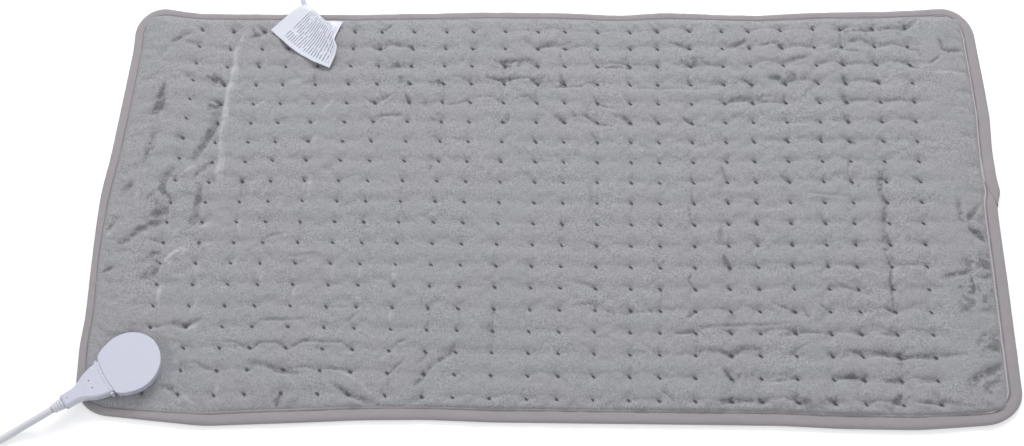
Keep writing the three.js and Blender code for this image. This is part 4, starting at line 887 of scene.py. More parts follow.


# Creases in the cover, by kind: width and depth in millimetres, painted shade in tenths (negative for a
# painted highlight), and then each crease of that kind as its points x, y, x, y in millimetres
CREASES = (
    (2, 1.2, 6, (
        (-142, 118, -136, 107), (118, 174, 129, 172, 139, 168), (52, 146, 76, 147, 81, 145),
        (-62, 134, -44, 131, -35, 133, -19, 134, -10, 126), (-102, 104, -87, 105, -79, 109, -75, 106),
        (4, 122, 15, 125, 31, 124, 40, 129, 48, 125), (42, 116, 48, 106, 59, 100, 65, 98),
        (26, 91, 36, 91, 49, 83, 63, 79), (11, 164, 14, 147), (42, 157, 48, 147), (76, 157, 80, 146),
        (76, 138, 80, 125), (42, 72, 49, 61), (-16, 69, -10, 61), (129, 90, 140, 82), (99, 92, 108, 84),
        (280, 192, 287, 191, 295, 194), (287, 191, 287, 170), (272, 166, 282, 171, 293, 167, 306, 164),
        (317, 180, 321, 171, 339, 174, 352, 170, 361, 166, 364, 157), (371, 151, 381, 159),
        (208, 172, 224, 175, 228, 169), (228, 115, 230, 107), (285, 159, 289, 150), (316, 158, 320, 149),
        (348, 153, 359, 146), (286, 44, 284, 28, 287, 20), (317, -45, 311, -51, 313, -58, 316, -67),
        (316, -68, 314, -80, 315, -89, 314, -110), (134, -6, 135, -18, 139, -26),
        (135, -75, 132, -82, 138, -91), (131, -118, 137, -112), (207, -104, 225, -111, 238, -117),
        (269, -86, 284, -90, 294, -94), (166, 38, 171, 19), (221, 27, 229, 20), (253, -12, 260, -23),
        (249, -104, 258, -112), (386, -74, 388, -93), (-359, -133, -350, -133),
        (-292, -147, -278, -147, -270, -152, -264, -153, -257, -147, -240, -147, -231, -153, -216,
         -145, -194, -146, -182, -146, -171, -153),
        (-315, -167, -306, -172, -293, -175), (-192, -171, -178, -173, -172, -175, -163, -170),
        (-138, -175, -128, -166, -123, -161), (-138, -154, -130, -145, -122, -142),
        (-112, -166, -104, -156), (-177, -126, -172, -118), (-168, 188, -155, 198),
        (-182, 111, -170, 105, -152, 115), (-179, 90, -170, 85, -162, 91, -141, 91), (-238, 65, -231, 61),
        (-338, 133, -321, 125), (-338, 124, -321, 123), (-333, 136, -321, 126), (-336, 96, -322, 102),
        (-336, 100, -322, 103), (-332, 107, -322, 104), (-174, 135, -170, 128), (-233, 139, -231, 127),
        (-380, -2, -373, 6), (-372, -45, -358, -49), (118, -134, 137, -132),
        (213, -136, 227, -131, 245, -132, 259, -133), (194, -177, 206, -178, 224, -175, 228, -176),
        (331, -176, 347, -176), (324, -195, 348, -197), (106, -186, 117, -198), (233, -108, 239, -117),
        (307, -107, 318, -112), (300, -132, 317, -133),
    )),
    (3.4, 1.5, 8, (
        (-50, 152, -38, 154, -28, 154, -18, 154, -10, 146), (63, 92, 74, 89, 80, 82), (6, 92, 16, 85),
        (12, 140, 15, 126), (-25, 178, -15, 173, -10, 167), (-8, 171, 6, 174, 19, 176),
        (301, 190, 318, 191, 320, 200), (320, 191, 333, 192, 350, 192, 366, 205),
        (295, 176, 305, 179, 314, 176), (382, 179, 386, 168, 391, 165, 403, 167), (176, 169, 193, 176),
        (231, 153, 241, 156, 253, 159), (214, 135, 224, 134, 229, 129), (286, 137, 289, 128),
        (285, 116, 288, 106), (172, 108, 185, 110, 196, 111, 199, 106), (285, 93, 289, 85),
        (281, 69, 293, 63), (314, 29, 312, 11, 316, -1), (317, -4, 313, -19, 313, -31, 317, -45),
        (163, -29, 163, -45), (165, -56, 169, -69), (383, 1, 383, -18), (391, -16, 403, -1),
        (390, -27, 404, -40), (360, -77, 376, -73, 391, -70),
        (-346, -132, -340, -130, -327, -132, -313, -126), (-264, -166, -250, -168, -240, -173, -217, -176),
        (-106, -175, -101, -168, -86, -157, -76, -145), (-113, -186, -106, -176), (-117, -203, -106, -196),
        (-186, -186, -171, -195, -157, -201, -142, -205), (-343, -189, -332, -192, -325, -198),
        (-183, 171, -168, 167, -161, 173, -139, 170), (-154, 146, -138, 147), (-298, 182, -287, 187),
        (-294, 195, -287, 187), (-369, 6, -357, -2), (-331, 31, -338, 22), (-364, -82, -361, -74),
        (-414, -78, -402, -74), (-415, -36, -408, -24),
        (139, -149, 157, -150, 168, -154, 177, -148, 194, -148),
        (262, -155, 267, -153, 276, -150, 303, -150, 315, -154, 332, -153, 346, -153, 373, -151),
        (161, -166, 168, -176), (258, -173, 284, -175), (301, -176, 316, -176),
        (156, -198, 167, -196, 194, -197), (224, -189, 225, -198), (306, -202, 315, -188),
        (278, -130, 288, -132),
    )),
    (2.2, -0.6, -6, (
        (369, 140, 407, 140), (288, 18, 287, -1), (319, -68, 317, -86), (-358, -94, -357, -113),
        (-325, -134, -312, -128), (-187, -168, -167, -182, -149, -198), (-228, -180, -217, -192),
        (-324, -199, -308, -207), (-291, -187, -292, -197), (-296, -93, -290, -78), (-265, -71, -263, -88),
        (-325, -73, -321, -93), (-231, -91, -231, -111), (-198, -70, -196, -87), (-170, -70, -171, -87),
        (-171, -91, -171, -108), (-136, -56, -138, -68), (-139, -70, -139, -88), (-139, -115, -139, -132),
        (-205, -130, -204, -150), (-170, -132, -151, -143), (-231, -68, -226, -64), (-263, 124, -245, 132),
        (-288, 100, -273, 109), (-229, 79, -225, 88, -211, 108), (-229, 60, -224, 70),
        (-356, 19, -348, 27, -341, 33), (-356, -49, -351, -42, -348, -34), (-356, -92, -356, -106),
        (-226, 25, -227, -1), (-321, -52, -313, -50), (-290, -23, -290, -40), (-292, -68, -285, -64),
        (-192, -39, -196, -47), (-414, -43, -404, -30), (-392, -11, -392, 9),
    )),
    (1.9, 0.8, 3, (
        (-95, 136, -83, 133, -76, 128), (-74, 112, -65, 112, -55, 112, -43, 105),
        (-30, 111, -19, 113, -11, 104), (71, 118, 80, 105), (82, 122, 122, 122, 144, 122, 156, 122),
        (137, 172, 137, 147), (137, 140, 137, 125), (261, 188, 262, 169), (251, 169, 261, 167),
        (183, 133, 194, 131, 198, 126), (155, 125, 163, 128, 170, 126), (230, 85, 254, 84),
        (245, 9, 280, 6), (317, -65, 349, -64), (351, -43, 351, -63), (136, 27, 138, 18),
        (137, 15, 138, -2), (285, -67, 300, -70), (286, -46, 298, -47),
        (-264, -131, -257, -125, -240, -125, -214, -123), (-229, -172, -214, -170, -200, -173),
        (-195, -112, -179, -112), (-203, 87, -197, 83), (-263, -42, -246, -38), (-240, -62, -215, -58),
        (139, -128, 163, -126, 200, -125, 221, -123), (221, -152, 235, -143), (93, -107, 100, -116),
        (88, -143, 100, -152), (70, -115, 105, -112),
    )),
    (5, 1.8, 10, (
        (-361, 30, -367, 20, -368, 7), (-398, 15, -406, 3), (-362, -7, -362, -17, -375, -19),
        (-332, 12, -332, -6, -332, -21, -337, -34), (-366, -27, -382, -34, -393, -45, -403, -51),
        (-362, -55, -374, -68), (-376, -85, -368, -83), (373, -178, 387, -169, 406, -159),
    )),
    (3.8, -0.9, -7.5, (
        (-359, -70, -351, -65, -345, -59), (-323, -121, -319, -108), (-324, -136, -317, -133),
        (-356, -68, -345, -59, -334, -52), (-315, 33, -315, 12), (-326, -34, -314, -25),
    )),
    (4.5, 1.6, 5, (
        (-381, 108, -382, 99, -394, 90), (-378, 177, -370, 183, -363, 186),
    )),
    (3.8, -1.2, -13, (
        (-308, 184, -311, 172, -314.5, 162, -313.5, 140, -316, 120, -317.5, 100, -317.5, 80,
         -318.5, 62, -316, 47, -315, 34, -318, 26),
    )),
    (5, 1.6, 6, ((-325, 90, -328, 72, -333, 60, -344, 40),)),
    (4, 1.5, 5, ((-322, 104, -324, 92),)),
    (5, 1.8, 9, ((-324, 99, -325, 83, -329, 71, -333, 58, -340, 43),)),
    (3.4, 1.2, 6, ((-324, 40, -330, 29),)),
    (5, 1.4, 6, ((-334, 130, -327, 126),)),
    (2.6, 0.5, 4, ((-365, 185, -371, 181, -381, 176),)),
    (3.2, 0.5, 3, ((-387, 168, -395, 162),)),
    (3, 0.6, 4.5, ((-382, 128, -384, 112, -385, 92),)),
    (2.8, 0.5, 3.6, ((-386, 74, -388, 55, -391, 35),)),
    (5, 1.8, 5, ((-383, 76, -385, 54, -390, 37),)),
    (4.5, 1.4, 4, ((-392, 158, -385, 167),)),
    (3, 1.2, 4, ((-368, 175, -353, 173),)),
    (4, 1.4, 4, ((-366, 140, -355, 132),)),
    (5, 1.6, 4, ((-385, 93, -382, 120, -380, 123),)),
    (3.4, 1.1, 5, ((-111, 47, -111, 30),)),
    (2.8, 1.1, 4, ((41, 15, 46, -17),)),
    (2.8, 1.2, 4, ((27, -108, 44, -106, 68, -117),)),
    (2.8, 1, 3, ((25, -84, 40, -87, 51, -92),)),
)

# Patches of painted shade, where the pile lies another way and catches less light: centre and half sizes in
# millimetres, and strength
SHADED_PATCHES = (
    (392, -98, 26, 30, 0.62), (397, -142, 15, 18, 0.62), (399, -179, 18, 20, 0.6), (391, -61, 20, 13, 0.55),
    (396, -20, 18, 16, 0.4), (424, 146, 14, 16, 0.25), (312, -40, 8, 34, 0.4), (314, 33, 8, 20, 0.4),
    (316, -152, 9, 14, 0.5), (256, -194, 12, 10, 0.6), (277, -174, 10, 9, 0.5), (316, -198, 14, 10, 0.55),
    (347, -195, 14, 9, 0.6), (165, -198, 12, 8, 0.6), (200, -197, 14, 8, 0.45), (226, -197, 14, 9, 0.55),
    (179, -175, 12, 8, 0.5), (-144, 131, 13, 8, 0.55), (-145, 118, 8, 8, 0.45), (-111, 133, 8, 11, 0.6),
    (-122, 106, 12, 8, 0.3), (-143, 147, 16, 8, 0.4), (-36, 152, 22, 8, 0.45), (-36, 134, 22, 7, 0.45),
    (13, 131, 7, 10, 0.5), (-373, -4, 10, 26, 0.4), (-370, -62, 11, 12, 0.45), (-377, -137, 10, 8, 0.3),
    (-382, 107, 10, 14, 0.35), (-334, 130, 12, 9, 0.35), (-330, 100, 11, 10, 0.38), (-297, 185, 8, 12, 0.6),
    (-382, 93, 8, 22, 0.35), (-236, -205, 6, 8, 0.5), (-221, 160, 10, 14, 0.35), (-199, 190, 12, 10, 0.3),
    (-109, 74, 9, 26, 0.35), (-32, 88, 20, 8, 0.4), (41, 95, 22, 8, 0.4), (307, 190, 24, 7, 0.5),
    (205, 114, 30, 6, 0.4), (149, 155, 24, 8, 0.3), (188, 176, 18, 7, 0.4), (236, 139, 24, 7, 0.4),
    (346, 194, 14, 7, 0.4),
)

# Where a crease's light comes from, and the lit crest beside it
LIT_SIDE = (0.45, -0.89)
CREST_SHIFT = 0.0006
CREST_WIDTH = 0.0009
DEEP_CREASE = 0.0008


def beside_line(points, px, py):
    """How near places are to a line, how far along it, and how far towards its lit side."""
    near, share, side = np.full_like(px, np.inf), np.zeros_like(px), np.zeros_like(px)
    lengths = np.linalg.norm(np.diff(points, axis=0), axis=1)
    done = 0.0
    for start, end, length in zip(points, points[1:], lengths):
        heading = (end - start) / length
        dx, dy = px - start[0], py - start[1]
        t = np.clip(dx * heading[0] + dy * heading[1], 0, length)
        across = dx * heading[1] - dy * heading[0]
        across *= np.sign(heading[1] * LIT_SIDE[0] - heading[0] * LIT_SIDE[1] + 1e-9)
        distance = np.hypot(dx - t * heading[0], dy - t * heading[1])
        share = np.where(distance < near, (done + t) / lengths.sum(), share)
        side = np.where(distance < near, across, side)
        near = np.minimum(near, distance)
        done += length
    return near, share, side


def crease_field(x, y):
    """Depth of all creases at each point in metres, and the painted shade along them and painted highlight on
    their lit crests.
    """
    depth, dark = np.zeros_like(x), np.zeros_like(x)
    every = ((*kind, line) for *kind, lines in CREASES for line in lines)
    for width, fall, shade, line in every:
        points = np.array(line).reshape(-1, 2) * UNIT
        width, fall = width * UNIT, fall * UNIT
        low, high = points.min(0) - 3 * width, points.max(0) + 3 * width
        close = np.nonzero((x > low[0]) & (x < high[0]) & (y > low[1]) & (y < high[1]))
        near, share, side = beside_line(points, x[close], y[close])
        taper = np.sqrt(np.sin(np.pi * (0.06 + 0.88 * share)))
        form = taper * np.exp(-1.8 * (near / width) ** 2)
        depth[close] += fall * form
        # A painted highlight on the crease's lit crest, and painted shade along the crease itself.
        crest = (side - 0.9 * width - CREST_SHIFT) / CREST_WIDTH
        ridge = np.exp(-(crest ** 2)) * (near < 2.5 * width)
        dark[close] += 0.1 * shade * form - 0.42 * min(1, abs(fall) / DEEP_CREASE) * taper * ridge
    return depth, dark


def puck_places(x, y):
    """Places along and across the plug's axis, from the puck's centre."""
    dx, dy = x - PUCK_CENTRE.x, y - PUCK_CENTRE.y
    along = dx * math.cos(PLUG_ANGLE) + dy * math.sin(PLUG_ANGLE)
    across = -dx * math.sin(PLUG_ANGLE) + dy * math.cos(PLUG_ANGLE)
    return along, across


PUCK_RADIUS = 0.0285
SEAT_MARGIN = 0.0008
SEAT_FADE = 0.014
LANE_WIDTH = 0.0215
LANE_FADES = (0.001, 0.010)
LANE_CLEARANCE = 0.0006


def press_down(x, y, z):
    """Flattens the cover where the puck stands and where the plug slides."""
    along, across = puck_places(x, y)
    share = 1 - smooth_step(np.hypot(along, across) - PUCK_RADIUS, SEAT_MARGIN, SEAT_FADE)
    z = z * (1 - share) + np.minimum(z, SEAT_LEVEL) * share
    beside = np.maximum(np.abs(across) - LANE_WIDTH, 0)
    share = (1 - smooth_step(beside, *LANE_FADES)) * (along > 0)
    return z * (1 - share) + np.minimum(z, PLUG_BOTTOM - LANE_CLEARANCE) * share


def per_tack(seed):
    """A random number from 0 to 1 for each tack."""
    return np.random.default_rng(seed).random((40, 60))


FOLD_LIGHT = 0.0009
FOLD_SIDES = (0.0021, -0.0019)


def fold(strength, away, side):
    """A fold's depth, a sharp line in a shallow trough, and its lit side."""
    groove = np.exp(-((away / 0.0015) ** 2)) + 0.55 * np.exp(-((away / 0.0045) ** 2))
    return strength * groove, strength * np.exp(-(((away + side) / FOLD_LIGHT) ** 2))


def row_folds(x, y, u, v, columns, rows):
    """Creases that bow away from the viewer between neighbouring tacks of a row, and their lit sides."""
    row, column = np.rint(v).astype(int), np.clip(u.astype(int), 0, len(columns) - 2)
    share = u - column
    bow = 0.0046 * per_tack(51)[row, column] ** 0.8
    line = rows[row] + bow * np.sin(np.pi * share) ** 0.8 + 0.0006 * lumps(x, y, 0.006, 53)
    chance = np.clip(1.5 * per_tack(52)[row, column] - 0.25, 0, 1)
    ends = np.clip(3.0 * np.sin(np.pi * share), 0, 1)
    outer_rows = np.maximum(smooth_step(y, 0.06, 0.12), 1 - smooth_step(y, -0.14, -0.08))
    right = smooth_step(x, 0.06, 0.22) * (0.30 + 0.55 * outer_rows)
    top = smooth_step(y, 0.115, 0.150) * smooth_step(x, -0.10, 0.0) * 0.7
    near = (1 - smooth_step(y, -0.175, -0.120)) * 0.5
    strength = np.maximum.reduce([0.10 + 0.9 * right, top, near]) * chance * ends
    return fold(strength, y - line, FOLD_SIDES[0])


def column_folds(x, y, u, v, columns, rows):
    """Straighter creases between neighbouring tacks of a column, and their lit sides."""
    column, row = np.rint(u).astype(int), np.clip(v.astype(int), 0, len(rows) - 2)
    share = v - row
    bow = 0.0034 * (per_tack(61)[row, column] - 0.4)
    line = columns[column] + bow * np.sin(np.pi * share) + 0.0005 * lumps(x, y, 0.006, 63)
    chance = np.clip(1.9 * per_tack(62)[row, column] - 0.85, 0, 1)
    ends = np.clip(3.0 * np.sin(np.pi * share), 0, 1)
    strength = (0.75 - 0.35 * smooth_step(x, 0.05, 0.20)) * chance * ends
    return fold(strength, x - line, FOLD_SIDES[1])


def tack_shade_wedges(dx, dy, row, column, x, y):
    """Painted shade in a wedge on the far side of each tack."""
    reach, heading = np.hypot(dx, dy), np.arctan2(dy, dx)
    lean = 1.85 + 0.9 * (per_tack(91)[row, column] - 0.4)
    wedge = np.exp(-(((heading - lean) / 0.62) ** 2) - ((reach - 0.0030) / 0.0042) ** 2)
    region = 0.25 + 0.75 * np.maximum(smooth_step(x, 0.0, 0.2), smooth_step(y, 0.10, 0.14))
    return wedge * region * np.clip(1.5 * per_tack(92)[row, column] - 0.2, 0, 1)


def tack_fans(dx, dy, row, column, rays):
    """Short lines that fan out from each tack."""
    reach, heading = np.hypot(dx, dy), np.arctan2(dy, dx)
    depth = np.zeros_like(dx)
    for seed, middle, spread, strength, width in rays:
        random = per_tack(seed)[row, column]
        turn = (heading - middle - spread * (random - 0.5) + math.pi) % (2 * math.pi) - math.pi
        side = reach * np.abs(np.sin(turn))
        extent = 0.0035 + 0.0045 * per_tack(seed + 5)[row, column]
        fall = np.exp(-((side / width) ** 2) - (reach / extent) ** 2)
        depth += np.where(np.abs(turn) < math.pi / 2, fall * strength * per_tack(seed + 9)[row, column], 0)
    return depth


# The rays of a fan: seed, heading, spread, strength and width. Dark rays are sunk into the cover and painted
# with shade; lit rays are only painted highlights.
DARK_RAYS = ((71, 2.55, 0.6, 1.0, 0.0010), (72, 0.4, 2.4, 0.6, 0.0011), (73, 4.4, 2.4, 0.6, 0.0011))
LIT_RAYS = ((74, -0.3, 1.3, 1.0, 0.0009), (75, 0.6, 1.2, 0.8, 0.0009), (76, -1.9, 1.4, 0.7, 0.0009))

# The dimple at each tack, its slit and the lip below it: half sizes and depth
PIT = (0.0058, 0.0050, 0.0011)
SLIT = (0.0026, 0.0015, 0.0012)
SLIT_SHIFT = 0.0004
LIP = (0.0028, 0.0022, -0.0007)
LIP_PLACE = (0.0024, -0.0030)
TACK_LIFT = 0.0006
FAN_DEPTH = 0.0007
FOLD_DEPTH = 0.0011
CREASE_GAIN = 1.3
CREST_RISE = 0.00045
# Small waves of the pile: height, spacing and seed
PILE_WAVES = ((0.00014, 0.0034, 21), (0.00020, 0.008, 22), (0.0004, 0.034, 23))


def hill(dx, dy, form):
    """A smooth round rise of one unit, with the half sizes of a form."""
    return np.exp(-((dx / form[0]) ** 2 + (dy / form[1]) ** 2))


def cover_shape(x, y, z, columns, rows):
    """Adds folds, tack pits and creases to the simulated cover, and gives its painted shade and painted
    highlights, with some random darker pile.
    """
    settings = bpy.context.scene.heating_pad
    to_right = smooth_step(x, 0.02, 0.24)
    calm = 0.46 + 0.16 * to_right + 0.06 * lumps(x, y, 0.05, 10)
    z = TACK_HEIGHT + TACK_LIFT + (z - TACK_HEIGHT) * calm
    limit = TACK_HEIGHT + settings.puff_height
    z = np.where(z > limit, limit + (z - limit) * 0.25, z)
    u = np.interp(x, columns, np.arange(len(columns)))
    v = np.interp(y, rows, np.arange(len(rows)))
    row, column = np.rint(v).astype(int), np.rint(u).astype(int)
    dx, dy = x - columns[column], y - rows[row]
    along, across = (dx - dy) / math.sqrt(2), (dx + dy) / math.sqrt(2)
    pit = hill(dx, dy, PIT)
    slit = hill(along + SLIT_SHIFT, across, SLIT)
    lip = hill(dx - LIP_PLACE[0], dy - LIP_PLACE[1], LIP)
    # Fan lines that are sunk and painted dark by each tack, and lit ones beside them that are painted light.
    fan = tack_fans(dx, dy, row, column, DARK_RAYS)
    shine = tack_fans(dx + 0.0002, dy, row, column, LIT_RAYS) * smooth_step(np.hypot(dx, dy), 0.0014, 0.0030)
    row_depth, row_shine = row_folds(x, y, u, v, columns, rows)
    column_depth, column_shine = column_folds(x, y, u, v, columns, rows)
    folds = row_depth + column_depth
    lying = laid(np.stack([x, y, z], 1))
    # Crease depths, and the painted shade and painted highlights along the creases.
    ridges, crease_shade = crease_field(lying[:, 0], lying[:, 1])
    wedges = tack_shade_wedges(dx, dy, row, column, x, y)
    z -= LIP[2] * lip + PIT[2] * pit + SLIT[2] * slit
    z -= FAN_DEPTH * fan + FOLD_DEPTH * folds + CREASE_GAIN * ridges
    crinkle = np.abs(lumps(x + 0.002 * lumps(x, y, 0.011, 26), y, 0.0125, 24))
    crest = np.exp(-((crinkle / 0.16) ** 2)) * smooth_step(lumps(x, y, 0.03, 25), -0.2, 1.2)
    z += CREST_RISE * crest + sum(height * lumps(x, y, spacing, seed) for height, spacing, seed in PILE_WAVES)
    streaks = smooth_step(lumps(x, y, 0.0030, 31) + 0.8 * lumps(x, y, 0.008, 32), -0.9, 1.4)
    # Painted shade in folds, in creases, in a wedge beyond each tack and in patches, broken up by random
    # streaks.
    dark = 0.24 * np.clip(folds, 0, 1) + (0.50 + 0.80 * streaks) * (crease_shade + 0.50 * wedges)
    for at_x, at_y, half_x, half_y, strength in SHADED_PATCHES:
        away = np.hypot((lying[:, 0] / UNIT - at_x) / half_x, (lying[:, 1] / UNIT - at_y) / half_y)
        away += 0.25 * lumps(x, y, 0.012, 33)
        dark += strength * 1.5 * streaks * (1 - smooth_step(away, 0.1, 1.35))
    # Random darker patches of pile.
    dark += 0.34 * streaks * smooth_step(lumps(x, y, 0.022, 34), 0.5, 1.6)
    # Painted shade of a saw-tooth slope: darkest just right of each tack line across the middle of the pad,
    # fading to the right.
    middle = smooth_step(x, -0.30, -0.20) * (1 - smooth_step(x, 0.12, 0.25))
    steps = (1 - (u - np.floor(u))) ** 1.5 * per_tack(95)[row, np.floor(u).astype(int)]
    dark += 0.16 * middle * steps * smooth_step(lumps(x, y, 0.03, 35), -0.8, 1.2)
    # Strong shade is eased below DARKEST, and painted shade is added in each tack's slit and along its dark
    # fan lines.
    dark = np.where(dark > 0, DARKEST * np.tanh(dark / DARKEST), dark) + 0.70 * slit + 0.34 * fan
    # Painted highlights: the lit lines by each tack, the lit sides of folds and the crests of crinkles.
    dark -= 0.50 * shine + 0.42 * (row_shine + column_shine) + 0.16 * crest
    return LOWEST_COVER + SOFT_STOP * np.logaddexp(0, (z - LOWEST_COVER) / SOFT_STOP), dark


LOWEST_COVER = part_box("upper_wadding")[1].z + 0.00025
SOFT_STOP = 0.0002
DARKEST = 0.72
LIP_COVERED = 0.0009
COVER_RIM = 0.004
COVER_PARTS = 5
RIM_TOP = 0.0040
RIM_UNDER = 0.0008
UNDER_PIT = 0.0006
RIM_FADES = (-0.0006, 0.0026)
LIP_FADE = (0.36, 0.40)


def widened(places, rim):
    """Places along a side, with those of a rim added at both ends."""
    return np.concatenate([places[0] - rim[::-1], places, places[-1] + rim])


def build_cover():
    """The pad's two cover sheets as one closed, padded body."""
    cell = bpy.context.scene.heating_pad.cloth_cell
    columns, rows = tack_columns(), tack_rows()
    xs = grid_axis(-PAD_WIDTH / 2 + TAPE_WIDTH, columns, PAD_WIDTH / 2 - TAPE_WIDTH, cell)
    ys = grid_axis(-PAD_DEPTH / 2 + TAPE_WIDTH, rows, PAD_DEPTH / 2 - TAPE_WIDTH, cell)
    shifts = simulate_cover(xs, ys, columns, rows)
    rim = (TAPE_WIDTH - COVER_RIM) * np.linspace(0, 1, COVER_PARTS + 1)[1:]
    wide_x, wide_y = (widened(refine(places, COVER_PARTS), rim) for places in (xs, ys))
    rims = ((COVER_PARTS,) * 2, (COVER_PARTS,) * 2, (0, 0))
    top, column, row = grid_object("cover_top", wide_x, wide_y)
    moved = np.pad(refine_sheet(shifts, COVER_PARTS), rims, mode="edge")[row, column]
    flat_x, flat_y = wide_x[column], wide_y[row]
    x, y = flat_x + moved[:, 0], flat_y + moved[:, 1]
    z, dark = cover_shape(x, y, moved[:, 2], columns, rows)
    edge = np.minimum(PAD_WIDTH / 2 - np.abs(flat_x), PAD_DEPTH / 2 - np.abs(flat_y))
    tape_edge = TAPE_WIDTH * tape_share(flat_x, flat_y) - LIP_COVERED * (1 - smooth_step(flat_x, *LIP_FADE))
    under_tape = 1 - smooth_step(edge, tape_edge + RIM_FADES[0], tape_edge + RIM_FADES[1])
    z = z * (1 - under_tape) + RIM_TOP * under_tape
    points = laid(round_corners(np.stack([x, y, z], 1), COVER_RIM))
    points[:, 2] = press_down(*points.T)
    set_points(top, points)
    # The pile attribute carries the cover's painted shade and painted highlights, none under the tape.
    set_attribute(top, "pile", np.clip(dark * (1 - under_tape), -1, 1))
    whole = to_bmesh(top)
    under = build_underside(xs, ys, columns, rows)
    whole.from_mesh(under)
    bpy.data.meshes.remove(under)
    bmesh.ops.bridge_loops(whole, edges=open_edges(whole))
    bmesh.ops.recalc_face_normals(whole, faces=whole.faces)
    if open_edges(whole):
        raise RuntimeError("the cover has an open edge")
    cover = from_bmesh("pad_cover", whole, "plush", "root", ("top_cover", "bottom_cover"), sharp=None)
    return cover


def build_underside(xs, ys, columns, rows):
    """The lower cover sheet: flat on what the pad lies on, drawn in a little at the tacks."""
    rim = np.array([TAPE_WIDTH - COVER_RIM])
    wide_x, wide_y = widened(xs, rim), widened(ys, rim)
    mesh, column, row = grid_object("cover_under", wide_x, wide_y)
    x, y = wide_x[column], wide_y[row]
    z = np.where(np.isin(x, columns) & np.isin(y, rows), UNDER_PIT, 0.0)
    z = np.where(on_rim(column, row, wide_x, wide_y), RIM_UNDER, z)
    set_points(mesh, laid(round_corners(np.stack([x, y, z], 1), COVER_RIM)))
    bm = to_bmesh(mesh)
    bmesh.ops.subdivide_edges(bm, edges=open_edges(bm), cuts=COVER_PARTS - 1, use_grid_fill=False)
    bmesh.ops.reverse_faces(bm, faces=bm.faces)
    return to_mesh(bm)


# Binding


def tape_section():
    """The folded tape's outer skin from under the pad, and its inner one: inset, height, and painted shade in
    the groove, negative for a painted highlight on the lip.
    """
    top = BINDING_TOP
    inner = TAPE_WIDTH - 0.0004
    return (
        (TAPE_WIDTH, 0.0, 0), (0.0060, 0.0, 0), (0.0024, 0.0, 0), (0.0011, 0.0004, 0), (0.0003, 0.0012, 0),
        (0.0, 0.0024, 0), (0.0003, 0.0036, 0), (0.0011, top - 0.0005, 0), (0.0022, top - 0.0001, 0),
        (0.0036, top + 0.0001, 0), (0.0052, top, 0), (0.0068, top - 0.0001, 0), (0.0078, top - 0.0001, 0.1),
        (0.0084, top - 0.0004, 0.7), (0.0088, top - 0.0005, 1.0), (0.0092, top - 0.0003, 0.6),
        (0.0095, top - 0.0001, -0.6), (0.0099, top + 0.0001, -1), (0.0103, top - 0.0001, -0.5),
        (TAPE_WIDTH, top - 0.0005, 0.8), (TAPE_WIDTH, top - 0.0010, 1.0), (inner, top - 0.0012, 1.0),
        (0.0030, top - 0.0012, 0), (0.0012, 0.0030, 0), (0.0012, 0.0018, 0), (0.0030, 0.0006, 0),
        (inner, 0.0006, 0),
    )


# Where the tape overlaps itself on the right, and the cut end's place and direction
OVERLAP_SPAN = (-0.006, 0.062)
OVERLAP_FADE = (0.030, 0.060)
OVERLAP_PROUD = 0.0007
OVERLAP_RISE = 0.0005
JOINT_PLACE = (0.4125, 0.0170, 0.0)
JOINT_NORMAL = (-0.922, -0.388, 0.0)
# Ripples of the tape: height, spacing and seed
TAPE_RIPPLES = ((0.00013, 0.0042, 41), (0.00018, 0.013, 42))


def run_round(points):
    """Distance along a closed chain of points."""
    steps = np.linalg.norm(np.diff(points, axis=0, append=points[:1]), axis=1)
    return np.concatenate([[0], np.cumsum(steps)])


def swept(name, section, places, closed=True):
    """The tape's section swept along places of the outline, all round or as the strip that overlaps it."""
    count, sides = len(places) - (0 if closed else 1), len(section)
    mesh, i, j = grid_object(name, range(count + 1), range(sides + 1))
    outline = np.array([place for place, _ in places])
    x, y = outline[i % len(places)].T
    angle = np.array([heading for _, heading in places])[i % len(places)]
    inset, height, groove = np.array(section)[j % sides].T
    inset = inset * np.where(height > BINDING_TOP / 2, tape_share(x, y), 1)
    # The lip's painted highlight is kept only towards the right side of the pad.
    groove = np.where(groove < 0, groove * smooth_step(x, *LIP_FADE), groove)
    if not closed:
        share = 1 - smooth_step(y, *OVERLAP_FADE)
        inset = inset - OVERLAP_PROUD * share
        height = height + OVERLAP_RISE * share * np.sign(height - BINDING_TOP / 2)
    x, y = x - inset * np.cos(angle), y - inset * np.sin(angle)
    ripple = sum(rise * lumps(x, y, spacing, seed) for rise, spacing, seed in TAPE_RIPPLES)
    points = laid(np.stack([x, y, height + np.where(height > BINDING_TOP * 0.7, ripple, 0)], 1))
    points[:, 2] = np.maximum(points[:, 2], 0)
    set_points(mesh, points)
    # The groove attribute carries the tape's painted shade and painted lip highlight.
    set_attribute(mesh, "groove", groove)
    set_map(mesh, "tape", run_round(outline)[i], run_round(np.array(section)[:, :2])[j])
    bm = to_bmesh(mesh)
    bmesh.ops.remove_doubles(bm, verts=bm.verts, dist=NEAR_ZERO / 10)
    return bm


def build_binding():
    """Woven tape folded round the pad's edge, and the end of the tape where it overlaps itself."""
    section = tape_section()
    places = outline_places(0.0024)
    ring = swept("ring", section, places)
    bmesh.ops.recalc_face_normals(ring, faces=ring.faces)
    from_bmesh("binding_tape_ring", ring, "binding_tape", "root", ("edge_binding",), sharp=None)
    low, high = OVERLAP_SPAN
    beside = [((x, y), angle) for (x, y), angle in places if x > PAD_WIDTH / 2 - 0.001 and low < y < high]
    strip = swept("strip", section, beside, closed=False)
    bmesh.ops.bisect_plane(
        strip, geom=[*strip.verts, *strip.edges, *strip.faces], plane_co=JOINT_PLACE, plane_no=JOINT_NORMAL,
        clear_outer=True,
    )
    bmesh.ops.holes_fill(strip, edges=open_edges(strip))
    bmesh.ops.recalc_face_normals(strip, faces=strip.faces)
    from_bmesh("binding_overlap", strip, "binding_tape", "root", sharp=50)


